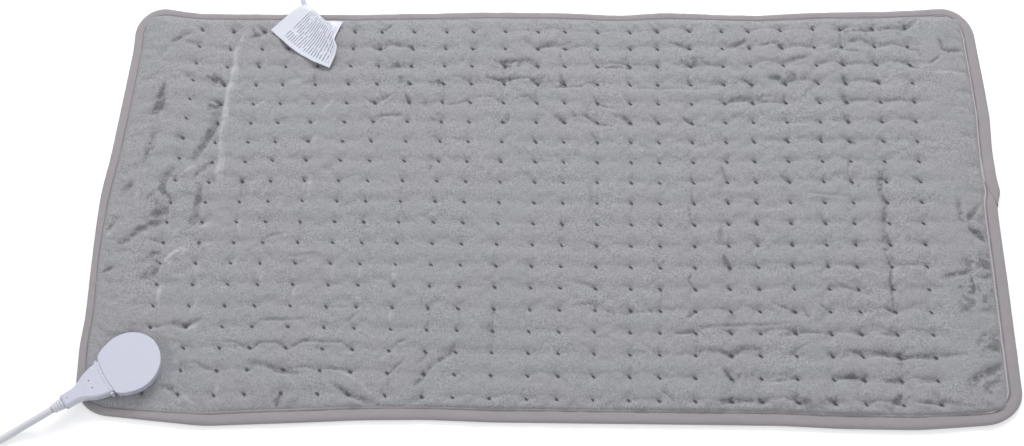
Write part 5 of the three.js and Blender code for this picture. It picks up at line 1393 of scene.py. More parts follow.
STITCH_PROFILE = [(0, -0.5), (0.6, -0.42), (1.0, -0.15), (1.0, 0.15), (0.6, 0.42), (0, 0.5)]
STITCH_SIZE = (0.00042, 0.00040)
STITCH_SHARE = 0.72
STITCH_SUNK = 0.0003
TACK_PROFILE = [(0, -0.5), (0.55, -0.47), (1.0, -0.30), (0.9, 0.0), (1.0, 0.30), (0.55, 0.47), (0, 0.5)]
TACK_SLOPE = math.radians(54)
TACK_SCATTER = 0.16
TACK_SHIFT = 0.0004
TACK_RISE = 0.0001
TACK_MARGIN = 0.002
TACK_LANE = 0.022


def build_stitches():
    """Single stitches that lie in the tape's groove."""
    pitch = bpy.context.scene.heating_pad.stitch_length
    stitch = turned(STITCH_PROFILE, 6)
    move(stitch, Matrix.Diagonal((*STITCH_SIZE, pitch * STITCH_SHARE, 1)))
    move(stitch, Matrix.Rotation(math.pi / 2, 4, "X"))
    centres = []
    for (x, y), angle in outline_places(pitch):
        inset = STITCH_INSET * float(tape_share(x, y))
        centres.append((x - inset * math.cos(angle), y - inset * math.sin(angle), BINDING_TOP - STITCH_SUNK))
    centres = laid(np.array(centres))
    places = []
    for centre, following in zip(centres, np.roll(centres, -1, axis=0)):
        heading = math.atan2(following[1] - centre[1], following[0] - centre[0])
        places.append(Matrix.Translation(centre) @ Matrix.Rotation(heading - math.pi / 2, 4, "Z"))
    seam = scattered(stitch, places)
    return from_bmesh("tape_stitches", seam, "tape_thread", "root", ("binding_stitching",), "stitching", None)


def build_tacks(cover):
    """Bar tacks at the bottom of the pits in the cover."""
    settings = bpy.context.scene.heating_pad
    bar = turned(TACK_PROFILE, 7)
    move(bar, Matrix.Diagonal((settings.tack_width / 2, settings.tack_width / 2.4, settings.tack_length, 1)))
    move(bar, Matrix.Rotation(math.pi / 2, 4, "X"))
    spots = laid(np.array([(x, y, 0.0) for x in tack_columns() for y in tack_rows()]))
    turns = np.random.default_rng(7).normal(0, TACK_SCATTER, len(spots))
    places = []
    for (x, y, _), turn in zip(spots, turns):
        along, across = puck_places(x, y)
        if math.hypot(along, across) < PUCK_RADIUS + TACK_MARGIN or (along > 0 and abs(across) < TACK_LANE):
            continue
        hit, place, _, _ = cover.ray_cast(Vector((x, y, 0.05)), -UP)
        if not hit:
            raise RuntimeError("a tack misses the cover")
        spot = Matrix.Translation((x - TACK_SHIFT, y + TACK_SHIFT, place.z + TACK_RISE))
        places.append(spot @ Matrix.Rotation(TACK_SLOPE + turn, 4, "Z"))
    return from_bmesh("quilting_tacks", scattered(bar, places), "stitching", "root", sharp=None)


# Care label

# How the label lies: five places across its width, at five places along its length, in millimetres
LABEL_LIE = (
    (-280.9, 187.8, 10.2), (-270.5, 198.5, 11.8), (-259.5, 209.5, 13.4), (-252.4, 214.2, 14.0),
    (-246.1, 217.6, 14.0), (-267.5, 175.3, 10.0), (-255.5, 188.5, 11.5), (-242.5, 203.0, 14.2),
    (-237.5, 206.8, 14.6), (-235.0, 207.5, 12.5), (-253.5, 163.0, 10.0), (-241.0, 178.0, 11.8),
    (-230.0, 194.0, 16.0), (-227.5, 197.0, 15.0), (-226.0, 198.5, 12.0), (-236.0, 151.5, 10.8),
    (-227.5, 167.0, 13.0), (-219.5, 183.0, 17.0), (-219.5, 188.0, 13.0), (-217.5, 198.3, 11.0),
    (-217.1, 142.3, 12.0), (-212.5, 155.0, 14.0), (-211.3, 165.0, 16.0), (-215.0, 176.1, 12.2),
    (-208.3, 197.8, 11.0),
)
LABEL_SHARES = (0.0, 0.33, 0.62, 0.80, 1.0)
LABEL_PARTS = 12
LABEL_TAB = (-0.2479, 0.2132, 0.0118)
LABEL_THICKNESS = 0.00025
LABEL_RIPPLE = 0.0003


def build_label():
    """A satin strip held at one corner by the binding, with its far side curled over."""
    lie = refine_sheet(np.array(LABEL_LIE).reshape(5, 5, 3) * UNIT, LABEL_PARTS)
    along = np.linspace(0, 1, lie.shape[0])
    across = refine(np.array(LABEL_SHARES), LABEL_PARTS)
    mesh, column, row = grid_object("care_strip", along, across)
    points = lie[column, row]
    ripple = np.sin(along[column] * 31 + across[row] * 9) * np.clip(1 - across[row], 0.2, 1)
    points[:, 2] += LABEL_RIPPLE * ripple
    set_points(mesh, points)
    set_map(mesh, "label", along[column], across[row])
    label = from_mesh("care_strip", mesh, "label_satin", "root", ("care_label",), sharp=None)
    thickness = label.modifiers.new("thickness", "SOLIDIFY")
    thickness.thickness = LABEL_THICKNESS
    thickness.offset = 0
    holder = box(0.0052, 0.0011, 0, 0.0092, edge=0.0002)
    lean = Matrix.Rotation(math.radians(20), 4, "Z") @ Matrix.Rotation(math.radians(-60), 4, "X")
    move(holder, Matrix.Translation(LABEL_TAB) @ lean)
    tab = from_bmesh("label_tab", holder, "label_satin", "root")
    return label


# Puck and plug, along and across the plug's axis from the puck's centre

SEAM_HALF_WIDTH = 0.0178
PLUG_HALF_WIDTH = 0.0164
PUCK_CORNER = 0.0012
SEAM_RADIUS = 0.080
SEAM_GAP = 0.0003
ON_ARC = 2e-5
AXIS_HEIGHT = 0.0126
PUCK_TOP = 0.018
SOCKET_WIDTH = 0.022
SOCKET_HEIGHT = 0.0068
PUCK_WALL = 0.0018
PUCK_DRAFT = 0.945
PUCK_SHOULDER = 0.0013
SHOULDER_START = 0.11
SHOULDER_ANGLE = 0.24
PUCK_UNDER_EDGE = 0.0014
FOOT_HEIGHT = 0.003
FAN_LENGTH = 0.033
NECK_LENGTH = 0.009
NECK_WIDTH = 0.012
SIDES = (-1, 1)
EAR_SIZE = (0.0028, 0.0052)
EAR_HEIGHT = 0.0076
EAR_PROUD = 0.0025
EAR_GROOVES = (0.0009, 0.0019)
# Fine lines and marks cut into the plug
SCORE = 0.00035
SCORE_PLACES = (0.0650, 0.0658)
SEAM_SCORE = 0.0024
SEAM_SCORE_LEAN = 0.26
DOT_RADIUS = 0.00065
DOT_PLACE = (0.0385, 0.004)
SLOT_SIZE = (0.0022, 0.0007)
SLOT_PLACE = 0.0616
# How far a tool reaches past what it cuts
PAST = 0.001


def seam_centre():
    """The seam arc's centre, which lies on the plug's axis."""
    chord = math.sqrt(PUCK_RADIUS ** 2 - SEAM_HALF_WIDTH ** 2)
    return chord - math.sqrt(SEAM_RADIUS ** 2 - SEAM_HALF_WIDTH ** 2)


def on_seam(radius):
    """A test for edges that lie on an arc about the seam's centre."""
    def lies_there(edge):
        return all(abs(math.hypot(v.co.x - seam_centre(), v.co.y) - radius) < ON_ARC for v in edge.verts)

    return lies_there


def arc(centre, radius, start, end, steps):
    """Points of an arc whose centre lies on the plug's axis."""
    angles = [start + (end - start) * step / steps for step in range(steps + 1)]
    return [(centre + radius * math.cos(a), radius * math.sin(a)) for a in angles]


def puck_outline(inset, steps=96):
    """A circle with soft shoulders beside the seam, cut by the seam's arc."""
    radius = PUCK_RADIUS - PUCK_CORNER - inset
    centre = seam_centre()
    seam = SEAM_RADIUS - inset
    meet = (radius ** 2 - seam ** 2 + centre ** 2) / (2 * centre)
    height = math.sqrt(radius ** 2 - meet ** 2)
    open_angle = math.atan2(height, meet)
    lean = math.atan2(height, meet - centre)
    outer = []
    for step in range(steps):
        angle = open_angle + (2 * math.pi - 2 * open_angle) * step / steps
        beside = min(angle, 2 * math.pi - angle) - open_angle
        rise = 1 - (1 - min(1, beside / SHOULDER_START)) ** 2
        swell = PUCK_SHOULDER * math.exp(-((beside - SHOULDER_ANGLE) / SHOULDER_ANGLE) ** 2)
        grown = radius + rise * (PUCK_CORNER + swell)
        outer.append((grown * math.cos(angle), grown * math.sin(angle)))
    return outer + arc(centre, seam, -lean, lean, 16)[:-1]


def quadratic(start, control, end, steps=10):
    """Points of a quadratic curve, without its first point."""
    points = []
    for step in range(1, steps + 1):
        t = step / steps
        points.append(tuple(
            (1 - t) ** 2 * a + 2 * t * (1 - t) * b + t * t * c for a, b, c in zip(start, control, end)
        ))
    return points


def plug_outline(inset):
    """A fan that narrows in a soft curve to the neck."""
    front = PLUG_HALF_WIDTH - inset
    neck = NECK_WIDTH / 2 - inset
    centre = seam_centre()
    radius = SEAM_RADIUS + SEAM_GAP + inset
    lean = math.asin(front / radius)
    corner = centre + radius * math.cos(lean)
    start = centre + SEAM_RADIUS + SEAM_GAP
    neck_start = start + FAN_LENGTH
    middle = corner + FAN_LENGTH * 0.62
    shoulder = (front + neck) / 2
    waist = corner + FAN_LENGTH * 0.3
    near = [(neck_start + NECK_LENGTH, neck), (neck_start, neck)]
    near += quadratic((neck_start, neck), ((middle + neck_start) / 2, neck), (middle, shoulder))
    near += quadratic((middle, shoulder), (waist, front), (corner, front))
    far = [(x, -y) for x, y in reversed(near)]
    return near[:-1] + arc(centre, radius, lean, -lean, 16) + far[1:]


def axis_box(width, start, edge=0.0):
    """A block across the seam, as high as the socket."""
    low, high = AXIS_HEIGHT - SOCKET_HEIGHT / 2, AXIS_HEIGHT + SOCKET_HEIGHT / 2
    return box(0.010, width, low, high, start, 0, edge)


def build_puck():
    """The receptacle's housing, with its socket mouth towards the plug."""
    edge = bpy.context.scene.heating_lead.shell_edge
    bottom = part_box("receptacle_housing")[0].z
    front = seam_centre() + SEAM_RADIUS
    shell = plate(puck_outline(0), bottom, PUCK_TOP, edge, 5, PUCK_UNDER_EDGE, on_seam(SEAM_RADIUS))
    foot = [v for v in shell.verts if v.co.z < bottom + FOOT_HEIGHT and v.co.x < PUCK_RADIUS * 0.7]
    seam = Matrix.Translation((-front, 0, 0))
    bmesh.ops.scale(shell, verts=foot, vec=(PUCK_DRAFT, PUCK_DRAFT, 1), space=seam)
    hollow = plate(puck_outline(PUCK_WALL), bottom - 5 * PAST, PUCK_TOP - PUCK_WALL)
    mesh = cut(shell, hollow, axis_box(SOCKET_WIDTH, front, 0.0006))
    mesh.transform(PUCK_PLACE)
    return even_shading(from_mesh("puck_housing", mesh, "gloss_shell", "root", ("receptacle_housing",)))


def plug_half(top_side):
    """One half of the plug's shell, with its ears, dots and slot."""
    edge = bpy.context.scene.heating_lead.shell_edge
    start = seam_centre() + SEAM_RADIUS + SEAM_GAP
    split = AXIS_HEIGHT + (TOUCH_GAP if top_side else -TOUCH_GAP) / 2
    bottom, top, edges = (split, PLUG_TOP, (edge, 5, 0)) if top_side else (PLUG_BOTTOM, split, (0, 5, edge))
    body = plate(plug_outline(0), bottom, top, *edges, on_seam(SEAM_RADIUS + SEAM_GAP))
    ear_low = split if top_side else AXIS_HEIGHT - EAR_HEIGHT / 2
    ear_high = AXIS_HEIGHT + EAR_HEIGHT / 2 if top_side else split
    reach = PLUG_HALF_WIDTH + EAR_PROUD
    middle = (start + EAR_SIZE[0] / 2, reach - EAR_SIZE[1] / 2)
    ears = [box(*EAR_SIZE, ear_low, ear_high, middle[0], side * middle[1], 0.0005) for side in SIDES]
    grooves = [
        box(0.0004, 0.0016, ear_low - 2 * PAST, ear_high + 2 * PAST, start + shift, side * reach)
        for side in SIDES for shift in EAR_GROOVES
    ]
    neck_start = start + FAN_LENGTH
    hollow_end = neck_start - NECK_WIDTH / 2
    hollow = plate(plug_outline(PUCK_WALL), PLUG_BOTTOM + PUCK_WALL, PLUG_TOP - PUCK_WALL)
    hollow = to_bmesh(cut(hollow, box(0.1, 0.1, 0.0, 0.03, hollow_end + 0.05)))
    bore = along_x(drum(0.0041, hollow_end - 4 * PAST, neck_start + NECK_LENGTH + 4 * PAST), AXIS_HEIGHT)
    tools = [hollow, bore, axis_box(SOCKET_WIDTH - TOUCH_GAP, start), *grooves]
    if top_side:
        over, (dot_x, dot_y) = PLUG_TOP + PAST, DOT_PLACE
        tools += [drum(DOT_RADIUS, PLUG_TOP - 0.0015, over, dot_x, side * dot_y, 16) for side in SIDES]
        radius, lean = SEAM_RADIUS + SEAM_GAP + SEAM_SCORE, SEAM_SCORE_LEAN
        inner = arc(seam_centre(), radius, -lean, lean, 24)
        outer = arc(seam_centre(), radius + SCORE, lean, -lean, 24)
        tools.append(plate(inner + outer, PLUG_TOP - 0.0003, over))
        tools.append(box(*SLOT_SIZE, PLUG_TOP - 0.0007, over, SLOT_PLACE))
    tools += [ring_tool(place) for place in SCORE_PLACES]
    mesh = cut(united(body, *ears), *tools)
    mesh.transform(PUCK_PLACE)
    return mesh


def ring_tool(place):
    """A thin collar that scores the neck all round."""
    heart = box(0.002, NECK_WIDTH - 2 * SCORE, PLUG_BOTTOM + SCORE, PLUG_TOP - SCORE, place)
    return to_bmesh(cut(box(SCORE, 0.03, 0.0, 0.03, place), heart))


def build_plug():
    """The plug's two shell halves and its ringed strain relief."""
    halves = (("plug_shell_upper", True, "plug_upper_shell"), ("plug_shell_lower", False, "plug_lower_shell"))
    for name, top_side, replaced in halves:
        even_shading(from_mesh(name, plug_half(top_side), "gloss_shell", "lead_set", (replaced,)))
    end = seam_centre() + SEAM_RADIUS + SEAM_GAP + FAN_LENGTH + NECK_LENGTH
    radius, place = 0.0057, end + TOUCH_GAP
    profile = [(0, end - 0.008), (0.0038, end - 0.008), (0.0038, place)]
    for _ in range(4):
        profile += [(radius - 0.0006, place), (radius, place + 0.0003), (radius, place + 0.0015)]
        profile += [(radius - 0.0003, place + 0.0018), (radius - 0.0011, place + 0.0019)]
        profile.append((radius - 0.0011, place + 0.0026))
        place += 0.0026
        radius -= 0.00035
    profile += [(0.0040, end + 0.0110), (0.0, end + 0.0110)]
    relief = along_x(turned(profile, 40), 0)
    move(relief, PUCK_PLACE @ Matrix.Translation((0, 0, AXIS_HEIGHT)))
    return from_bmesh("plug_relief", relief, "cord_jacket", "lead_set", ("plug_strain_relief",))


# Leads

PAD_LEAD_OUT = (
    (-0.43465, -0.2158, 0.0126), (-0.4395, -0.2191, 0.0124), (-0.4468, -0.2233, 0.0107),
    (-0.4542, -0.2268, 0.0081), (-0.4615, -0.2304, 0.0059), (-0.4695, -0.235, 0.0043),
    (-0.4792, -0.241, 0.0035), (-0.491, -0.2478, 0.0034), (-0.506, -0.2553, 0.0034),
    (-0.522, -0.2612, 0.0034), (-0.534, -0.2633, 0.0034), (-0.5431, -0.2635, 0.0034),
)
PAD_LEAD_IN = (
    (-0.591, -0.2156, 0.0106), (-0.591, -0.207, 0.010), (-0.591, -0.196, 0.0074), (-0.591, -0.184, 0.0072),
    (-0.591, -0.172, 0.010), (-0.591, -0.1604, 0.011),
)
MAINS_LEAD_IN = (
    (-0.591, 0.0243, 0.011), (-0.591, 0.030, 0.0107), (-0.591, 0.0375, 0.0082), (-0.591, 0.0455, 0.005),
    (-0.5913, 0.053, 0.0037), (-0.5936, 0.0625, 0.0034), (-0.5993, 0.0712, 0.0034),
    (-0.6076, 0.0773, 0.0034), (-0.616, 0.0799, 0.0034), (-0.6231, 0.080, 0.0034),
)
MAINS_LEAD_OUT = (
    (-0.681, 0.1379, 0.0106), (-0.681, 0.1415, 0.0104), (-0.681, 0.1458, 0.0099), (-0.681, 0.1494, 0.0095),
)
PAD_COIL = (-0.550, -0.2225, 0.041, 3.25)
MAINS_COIL = (-0.630, 0.131, 0.051, 6.25)
FLOOR_HEIGHT = 0.0034
LAYER_RISE = 0.0072
LOOP_STEPS = 96
ROUTE_STEP = 0.002


def coil_places(centre_x, centre_y, outer_radius, turns):
    """A neat coil that spirals in on the floor, climbs a layer and spirals out on top."""
    pitch = bpy.context.scene.heating_lead.turn_pitch
    places = []
    for step in range(round(turns * LOOP_STEPS) + 1):
        done = step / LOOP_STEPS
        from_middle = done - turns / 2
        radius = outer_radius - pitch * (turns / 2 - abs(from_middle))
        height = FLOOR_HEIGHT + LAYER_RISE * float(smooth_step(np.array(from_middle), -0.25, 0.25))
        angle = -math.pi / 2 - 2 * math.pi * done
        places.append((centre_x + radius * math.cos(angle), centre_y + radius * math.sin(angle), height))
    return places


def route_places(route):
    """Closely spaced points of a smooth curve through a route, with even knots by root length."""
    points = [np.array(p) for p in route]
    points = [2 * points[0] - points[1], *points, 2 * points[-1] - points[-2]]
    places = []
    for p0, p1, p2, p3 in zip(points, points[1:], points[2:], points[3:]):
        knots = [0.0]
        for a, b in ((p0, p1), (p1, p2), (p2, p3)):
            knots.append(knots[-1] + math.sqrt(np.linalg.norm(b - a)))
        t0, t1, t2, t3 = knots
        steps = max(2, round(np.linalg.norm(p2 - p1) / ROUTE_STEP))
        for step in range(steps):
            t = t1 + (t2 - t1) * step / steps
            a1 = (t1 - t) / (t1 - t0) * p0 + (t - t0) / (t1 - t0) * p1
            a2 = (t2 - t) / (t2 - t1) * p1 + (t - t1) / (t2 - t1) * p2
            a3 = (t3 - t) / (t3 - t2) * p2 + (t - t2) / (t3 - t2) * p3
            b1 = (t2 - t) / (t2 - t0) * a1 + (t - t0) / (t2 - t0) * a2
            b2 = (t3 - t) / (t3 - t1) * a2 + (t - t1) / (t3 - t1) * a3
            places.append(tuple((t2 - t) / (t2 - t1) * b1 + (t - t1) / (t2 - t1) * b2))
    return places + [tuple(points[-2])]


def build_cord(name, route_out, coil, route_in, replaced, with_pieces):
    """One lead: out of its relief, round its coil and on to what it feeds."""
    diameter = bpy.context.scene.heating_lead.cord_diameter
    places = route_places(route_out) + coil_places(*coil) + route_places(route_in)
    curve = bpy.data.curves.new(name, "CURVE")
    curve.dimensions = "3D"
    curve.bevel_depth = diameter / 2
    curve.bevel_resolution = 5
    curve.use_fill_caps = True
    spline = curve.splines.new("POLY")
    spline.points.add(len(places) - 1)
    for point, place in zip(spline.points, places):
        point.co = (*place, 1)
    spline.use_smooth = True
    curve.materials.append(FINISHES["cord_jacket"])
    cord = new_object(name, curve)
    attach(cord, "lead_set")
    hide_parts(*replaced)
    return cord


def ribs(start, end, first_radius, last_radius, count):
    """Profile of ribs that shrink from one radius to another."""
    profile = []
    pitch = (end - start) / count
    for index in range(count):
        at = start + index * pitch
        radius = first_radius + (last_radius - first_radius) * index / (count - 1)
        depth = 0.0009 * (1 - 0.5 * index / count)
        profile += [(radius - depth, at), (radius - depth, at + pitch * 0.28)]
        profile += [(radius - 0.0001, at + pitch * 0.36), (radius, at + pitch * 0.5)]
        profile.append((radius - 0.0001, at + pitch * 0.92))
    return profile


# Hand controller

CASE_WALL = 0.002
CASE_CORNER = 0.018
CASE_SPLIT = 0.011
CORD_HOLE = 0.0045
BUTTON_FLANGE = 0.001
WINDOW_OPENING = (0.0326, 0.0226)
SCREW_HOLE = (0.0028, 0.0024)
BUTTONS = (
    ("button_warmer", "plus"), ("button_cooler", "minus"), ("button_timer", "clock"),
    ("button_power", "power"),
)


def case_block(inset, bottom, top, edge=0.0):
    """The case's rounded form, drawn in by an inset."""
    width, depth = (CASE_HIGH - CASE_LOW)[:2]
    bm = box(width - 2 * inset, depth - 2 * inset, bottom, top)
    upright = [e for e in bm.edges if abs(e.verts[0].co.z - e.verts[1].co.z) > NEAR_ZERO]
    round_edges(bm, upright, CASE_CORNER - inset, 12)
    if edge > 0:
        round_edges(bm, edges_at(bm, top) + edges_at(bm, bottom), edge, 5)
    return bm


def case_tool(node, radius, bottom, top, steps):
    """A round tool that opens the case over or under a node."""
    x, y, _ = middle_of(node) - CASE_CENTRE
    return drum(radius, bottom, top, x, y, steps)


def build_case():
    """The controller's two shells, with openings for its window, its buttons and its leads."""
    edge = bpy.context.scene.heating_lead.case_edge
    window = box(*WINDOW_OPENING, 0.018, 0.03, 0, middle_of("display_window").y - CASE_CENTRE.y)
    openings = [window]
    for name, _ in BUTTONS:
        low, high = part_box(name)
        radius = (high.x - low.x) / 2 - BUTTON_FLANGE + TOUCH_GAP
        openings.append(case_tool(name, radius, 0.015, 0.03, 64))
    radius, depth = SCREW_HOLE
    screws = [case_tool(f"controller_screw_{index}", radius, -0.01, depth, 24) for index in range(1, 5)]
    halves = (
        ("case_lower", "controller_lower_shell", (CASE_SPLIT - TOUCH_GAP / 2, 0.04), screws),
        ("case_upper", "controller_upper_shell", (-0.01, CASE_SPLIT + TOUCH_GAP / 2), openings),
    )
    for name, replaced, away, holes in halves:
        hollow = case_block(CASE_WALL, CASE_WALL, CASE_TOP - CASE_WALL)
        leads = along_y(drum(CORD_HOLE, -0.08, 0.08, steps=32), CASE_SPLIT)
        mesh = cut(case_block(0, 0.0, CASE_TOP, edge), box(0.1, 0.3, *away), hollow, leads, *holes)
        mesh.transform(CASE_PLACE)
        even_shading(from_mesh(name, mesh, "gloss_shell", "lead_set", (replaced,)))


MARK_HEIGHT = 0.00016


def mark_bar(width, depth, y=0.0, x=0.0):
    """One stroke of a button's sign."""
    return box(width, depth, 0, MARK_HEIGHT, x, y)


def button_mark(kind, radius):
    """A plain raised sign for a button's top."""
    stroke, reach = radius * 0.16, radius * 0.5
    if kind == "plus":
        return united(mark_bar(2 * reach, 2 * stroke), mark_bar(2 * stroke, 2 * reach))
    if kind == "minus":
        return mark_bar(2 * reach, 2 * stroke)
    inner = reach - 1.5 * stroke
    circle = turned([(reach, 0), (reach, MARK_HEIGHT), (inner, MARK_HEIGHT), (inner, 0), (reach, 0)], 48)
    if kind == "clock":
        hand = mark_bar(1.4 * stroke, reach * 0.8, reach * 0.32)
        return joined(circle, united(hand, mark_bar(reach * 0.6, 1.4 * stroke, 0, reach * 0.22)))
    opened = to_bmesh(cut(circle, box(reach * 0.8, reach, -PAST, PAST, 0, reach)))
    return joined(opened, mark_bar(1.5 * stroke, reach * 1.05, reach * 0.72))


def build_buttons():
    """Four push buttons with dished tops, each riding on its own body."""
    for name, kind in BUTTONS:
        low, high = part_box(name)
        x, y, _ = middle_of(name)
        outer, top = (high.x - low.x) / 2, high.z
        radius = outer - BUTTON_FLANGE
        flange_bottom, flange_top = 0.0172, 0.0187
        dished = top - 0.00036
        profile = [(0, low.z), (0.0016, low.z), (0.0016, flange_bottom), (outer, flange_bottom)]
        profile += [(outer, flange_top), (radius, flange_top), (radius, top - 0.0006)]
        profile += [(radius - 0.00015, top - 0.0002), (radius - 0.0005, top)]
        profile += [(radius - 0.0011, top - 0.00004), (radius * 0.6, top - 0.00026)]
        profile += [(radius * 0.3, top - 0.00034), (0, dished)]
        cap = move(turned(profile, 64), Matrix.Translation((x, y, 0)))
        from_bmesh(f"cap_{kind}", cap, "button", name, (name,), sharp=40)
        sign = move(button_mark(kind, radius), Matrix.Translation((x, y, dished)))
        from_bmesh(f"mark_{kind}", sign, "mark", name, slot="insulator")


def build_display():
    """Smoked window over a display that shows plain level bars."""
    x, y, _ = middle_of("display_window")
    pane = box(0.032, 0.022, 0.0184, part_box("display_window")[1].z, x, y, 0.00035)
    flange = box(0.034, 0.024, 0.0177, 0.0185, x, y)
    from_bmesh("window_pane", united(pane, flange), "window", "lead_set", ("display_window",))
    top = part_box("display_module")[1].z
    low, high = top - 0.0001, top + 0.0001
    bars = [
        box(0.0024, 0.003 + 0.0016 * step, low, high, x - 0.009 + 0.0036 * step, y - 0.006 + 0.0008 * step)
        for step in range(6)
    ]
    from_bmesh("display_bars", joined(*bars), "inner_shell", "lead_set")


# A relief's radius at each distance out from the case's end
RELIEF_PROFILE = [
    (0, -0.0043), (0.006, -0.0043), (0.006, -0.0023), (0.0042, -0.0023), (0.0042, 0.0003), (0.0053, 0.0003),
    (0.0055, 0.0008), (0.0055, 0.0036), *ribs(0.0040, 0.0225, 0.0054, 0.0042, 7), (0.0040, 0.0232),
    (0.00395, 0.0255), (0.0036, 0.0260), (0, 0.0260),
]
RELIEFS = (
    ("relief_pad_side", -1, "controller_pad_relief"), ("relief_mains_side", 1, "controller_mains_relief"),
)


def build_reliefs():
    """Ribbed, tapering guards where the leads enter the controller."""
    half = (CASE_HIGH.y - CASE_LOW.y) / 2
    for name, side, replaced in RELIEFS:
        profile = [(radius, half + at) for radius, at in RELIEF_PROFILE]
        relief = along_y(turned(profile, 40), CASE_SPLIT, side)
        move(relief, CASE_PLACE)
        from_bmesh(name, relief, "cord_jacket", "lead_set", (replaced,))


# The mains plug's grip: how it narrows to the back, and its edges' radii in front, behind and lengthwise
GRIP_TAPER = (0.72, 1, 0.84)
FRONT_EDGE, BACK_EDGE, LONG_EDGE = 0.0013, 0.0028, 0.0042
GRIP_GROOVES = 5
BLADE_PLACE = 0.00635
BLADE_HEIGHT = 0.00315


def grip_groove(side, index, width):
    """One groove across a side of the mains plug's grip."""
    x = width / 2 - 0.0009 - 0.0032 * index / 5
    return box(0.0022, 0.0009, -0.0055, 0.0055, side * x, -0.0085 + 0.0026 * (GRIP_GROOVES - index))


def build_mains_plug():
    """Two-blade mains plug with a tapered, grooved grip."""
    width, length, height = MAINS_HIGH - MAINS_LOW
    bm = box(width, length, -height / 2, height / 2)
    back = [v for v in bm.verts if v.co.y < 0]
    bmesh.ops.scale(bm, verts=back, vec=GRIP_TAPER)
    lengthwise = [e for e in bm.edges if abs(e.verts[0].co.y - e.verts[1].co.y) > length / 2]
    round_edges(bm, lengthwise, LONG_EDGE, 6)
    round_edges(bm, edges_at(bm, length / 2, 1), FRONT_EDGE, 4)
    round_edges(bm, edges_at(bm, -length / 2, 1), BACK_EDGE, 4)
    grooves = [grip_groove(side, index, width) for side in SIDES for index in range(GRIP_GROOVES)]
    slots = [box(0.0021, 0.012, -0.00345, 0.00345, side * BLADE_PLACE, length / 2) for side in SIDES]
    bore = along_y(drum(CORD_HOLE, -length, -length / 2 + 0.0083, steps=32), 0)
    mesh = cut(bm, *grooves, *slots, bore)
    mesh.transform(Matrix.Translation(MAINS_CENTRE))
    pieces = [even_shading(from_mesh("mains_body", mesh, "cord_jacket", "lead_set", ("mains_plug_body",)))]
    for index in (1, 2):
        node = f"mains_plug_blade_{index}"
        low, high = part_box(node)
        thickness, reach, _ = high - low
        blade = box(thickness, reach, -BLADE_HEIGHT, BLADE_HEIGHT)
        round_edges(blade, edges_at(blade, reach / 2, 1), 0.0006, 3)
        mesh = cut(blade, blade_hole(reach))
        mesh.transform(Matrix.Translation(middle_of(node)))
        pieces.append(from_mesh(f"mains_blade_{index}", mesh, "brass", "lead_set", (node,)))
    profile = [(0, 0.0080), (0.0042, 0.0080), (0.0042, -0.0003), (0.0055, -0.0003), (0.0055, -0.0028)]
    profile += [(radius, -at) for radius, at in ribs(0.0030, 0.0205, 0.0054, 0.0042, 7)]
    profile += [(0.0040, -0.0212), (0.00395, -0.0236), (0.0036, -0.0240), (0, -0.0240)]
    relief = along_y(turned(profile, 40), MAINS_CENTRE.z)
    move(relief, Matrix.Translation((MAINS_CENTRE.x, MAINS_LOW.y, 0)))
    pieces.append(from_bmesh("mains_relief", relief, "cord_jacket", "lead_set", ("mains_plug_relief",)))
    return pieces


def blade_hole(length):
    """The round hole near a blade's tip."""
    hole = along_x(drum(0.0016, -0.01, 0.01, steps=24), 0)
    bmesh.ops.translate(hole, verts=hole.verts, vec=(0, length / 2 - 0.004, 0))
    return hole


# Operators

FLOOR_SHADE = 0.86
FLOOR_GLOW = 0.38
FLOOR_REACH = 6
WORLD_LIGHT = 0.52
LENS = 50.38
CAMERA_PLACE = (0.0406, -0.6118, 1.2108)
CAMERA_ANGLES = (26.05, 2.55, 1.76)


class HEATPAD_OT_stage(bpy.types.Operator):
    """Sets up the floor, the light and the camera"""

    bl_idname = "heatpad.stage"
    bl_label = "Stage"

    def execute(self, context):
        scene = context.scene
        scene.view_settings.view_transform = "Standard"
        make_floor()
        make_world(scene)
        make_lamps()
        camera = bpy.data.cameras.new("camera")
        camera.sensor_fit = "HORIZONTAL"
        camera.sensor_width = 36
        camera.lens = LENS
        camera.clip_start = 0.01
        view = new_object("camera", camera)
        view.location = CAMERA_PLACE
        view.rotation_euler = [math.radians(angle) for angle in CAMERA_ANGLES]
        scene.camera = view
        return {"FINISHED"}


def shown_backdrop(nodes):
    """A factor that is 1 where the background is seen, reflected or seen through glass."""
    path = nodes.add("ShaderNodeLightPath", {})
    seen = nodes.maths("MAXIMUM", path["Is Camera Ray"], path["Is Glossy Ray"])
    return nodes.maths("MAXIMUM", seen, path["Is Transmission Ray"])


def make_floor():
    """A wide pale floor that glows a little where it is seen."""
    bm = bmesh.new()
    bmesh.ops.create_grid(bm, x_segments=1, y_segments=1, size=FLOOR_REACH)
    material = bpy.data.materials.new("floor")
    material.use_nodes = True
    material.node_tree.nodes.clear()
    nodes = Nodes(material.node_tree)
    diffuse = nodes.add("ShaderNodeBsdfDiffuse", {"Color": (FLOOR_SHADE,) * 3})[0]
    strength = nodes.maths("MULTIPLY", shown_backdrop(nodes), FLOOR_GLOW)
    glow = nodes.add("ShaderNodeEmission", {"Strength": strength})[0]
    both = nodes.add("ShaderNodeAddShader", {0: diffuse, 1: glow})[0]
    nodes.add("ShaderNodeOutputMaterial", {"Surface": both})
    mesh = to_mesh(bm)
    mesh.materials.append(material)
    new_object("floor", mesh)


def make_world(scene):
    """A pale backdrop that lights the scene less than it shows."""
    world = bpy.data.worlds.new("studio")
    scene.world = world
    world.use_nodes = True
    nodes = Nodes(world.node_tree)
    background = world.node_tree.nodes["Background"].inputs
    nodes.feed(background["Color"], (0.97, 0.98, 1))
    feeds = {"Value": shown_backdrop(nodes), "To Min": WORLD_LIGHT, "To Max": 1.0}
    nodes.feed(background["Strength"], nodes.add("ShaderNodeMapRange", feeds)["Result"])


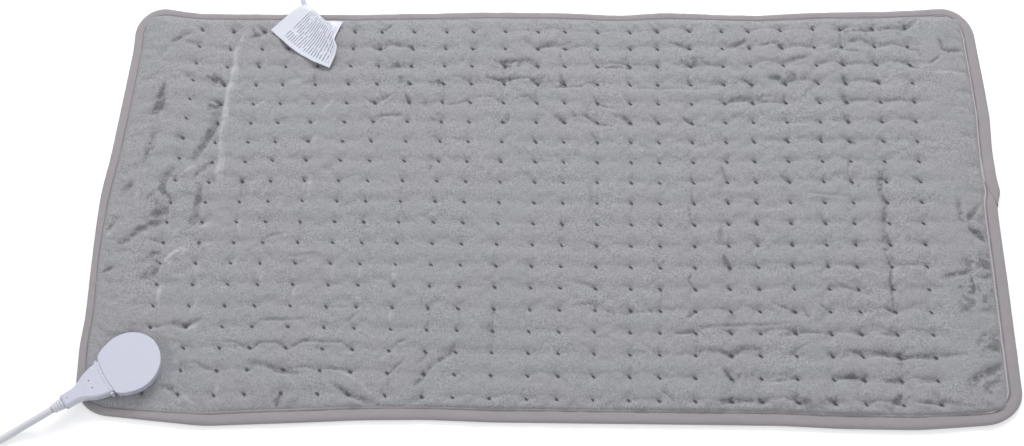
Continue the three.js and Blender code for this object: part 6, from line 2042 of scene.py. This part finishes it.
# Soft boxes: name, place in metres, width and depth in metres, power in watts
LAMPS = (
    ("far_key", (0.10, 1.75, 1.55), (1.6, 0.9), 34.0),
    ("left_fill", (-1.9, 0.1, 1.3), (1.0, 1.0), 5.0),
    ("near_fill", (0.4, -1.7, 1.7), (1.6, 1.0), 5.0),
)


def make_lamps():
    """Soft boxes that all face the middle of the pad."""
    for name, place, extent, power in LAMPS:
        light = bpy.data.lights.new(name, "AREA")
        light.shape = "RECTANGLE"
        light.size, light.size_y = extent
        light.energy = power
        lamp = new_object(name, light)
        lamp.location = place
        lamp.rotation_euler = (-Vector(place)).to_track_quat("-Z", "Y").to_euler()


class HEATPAD_OT_finishes(bpy.types.Operator):
    """Makes every finish, and gives the frame's own pieces theirs"""

    bl_idname = "heatpad.finishes"
    bl_label = "Finishes"

    def execute(self, context):
        FINISHES.update(make_finishes())
        for node in frame["nodes"].values():
            slot = node.data.materials[0].name
            node.data.materials[0] = FINISHES[slot]
        return {"FINISHED"}


class HEATPAD_OT_cover(bpy.types.Operator):
    """Builds the padded cover and its bar tacks"""

    bl_idname = "heatpad.cover"
    bl_label = "Padded cover"

    def execute(self, context):
        cover = build_cover()
        context.view_layer.update()
        build_tacks(cover)
        return {"FINISHED"}


class HEATPAD_OT_binding(bpy.types.Operator):
    """Builds the binding tape and its stitches"""

    bl_idname = "heatpad.binding"
    bl_label = "Binding"

    def execute(self, context):
        build_binding()
        build_stitches()
        return {"FINISHED"}


class HEATPAD_OT_label(bpy.types.Operator):
    """Builds the care label"""

    bl_idname = "heatpad.label"
    bl_label = "Care label"

    def execute(self, context):
        build_label()
        return {"FINISHED"}


class HEATPAD_OT_connector(bpy.types.Operator):
    """Builds the receptacle puck and the plug that pushes into it"""

    bl_idname = "heatpad.connector"
    bl_label = "Puck and plug"

    def execute(self, context):
        build_puck()
        build_plug()
        return {"FINISHED"}


class HEATPAD_OT_controller(bpy.types.Operator):
    """Builds the hand controller with its buttons, window and cord guards"""

    bl_idname = "heatpad.controller"
    bl_label = "Controller"

    def execute(self, context):
        build_case()
        build_buttons()
        build_display()
        build_reliefs()
        return {"FINISHED"}


class HEATPAD_OT_leads(bpy.types.Operator):
    """Builds both leads and the mains plug"""

    bl_idname = "heatpad.leads"
    bl_label = "Leads"

    def execute(self, context):
        build_cord(
            "pad_lead", PAD_LEAD_OUT, PAD_COIL, PAD_LEAD_IN,
            ("pad_lead_out", "pad_lead_coil", "pad_lead_in"), (),
        )
        build_cord(
            "mains_lead", MAINS_LEAD_IN, MAINS_COIL, MAINS_LEAD_OUT,
            ("mains_lead_in", "mains_lead_coil", "mains_lead_out"), build_mains_plug(),
        )
        return {"FINISHED"}


STEPS = ("stage", "finishes", "leads", "cover", "binding", "label", "connector", "controller")


class HEATPAD_PT_panel(bpy.types.Panel):
    """Lists the steps and the sizes and colours"""

    bl_label = "Heating Pad"
    bl_idname = "HEATPAD_PT_panel"
    bl_space_type = "VIEW_3D"
    bl_region_type = "UI"
    bl_category = "Heating Pad"

    def draw(self, context):
        layout = self.layout
        for step in STEPS:
            layout.operator(f"heatpad.{step}")
        for group in (context.scene.heating_pad, context.scene.heating_lead):
            for name in group.bl_rna.properties.keys():
                if name not in ("rna_type", "name"):
                    layout.prop(group, name)


CLASSES = (
    PadSettings,
    LeadSettings,
    HEATPAD_OT_stage,
    HEATPAD_OT_finishes,
    HEATPAD_OT_cover,
    HEATPAD_OT_binding,
    HEATPAD_OT_label,
    HEATPAD_OT_connector,
    HEATPAD_OT_controller,
    HEATPAD_OT_leads,
    HEATPAD_PT_panel,
)


def register():
    for entry in CLASSES:
        bpy.utils.register_class(entry)
    bpy.types.Scene.heating_pad = PointerProperty(type=PadSettings)
    bpy.types.Scene.heating_lead = PointerProperty(type=LeadSettings)


def unregister():
    del bpy.types.Scene.heating_lead
    del bpy.types.Scene.heating_pad
    for entry in reversed(CLASSES):
        bpy.utils.unregister_class(entry)


def main():
    register()
    for step in STEPS:
        getattr(bpy.ops.heatpad, step)()


if __name__ == "__main__":
    main()
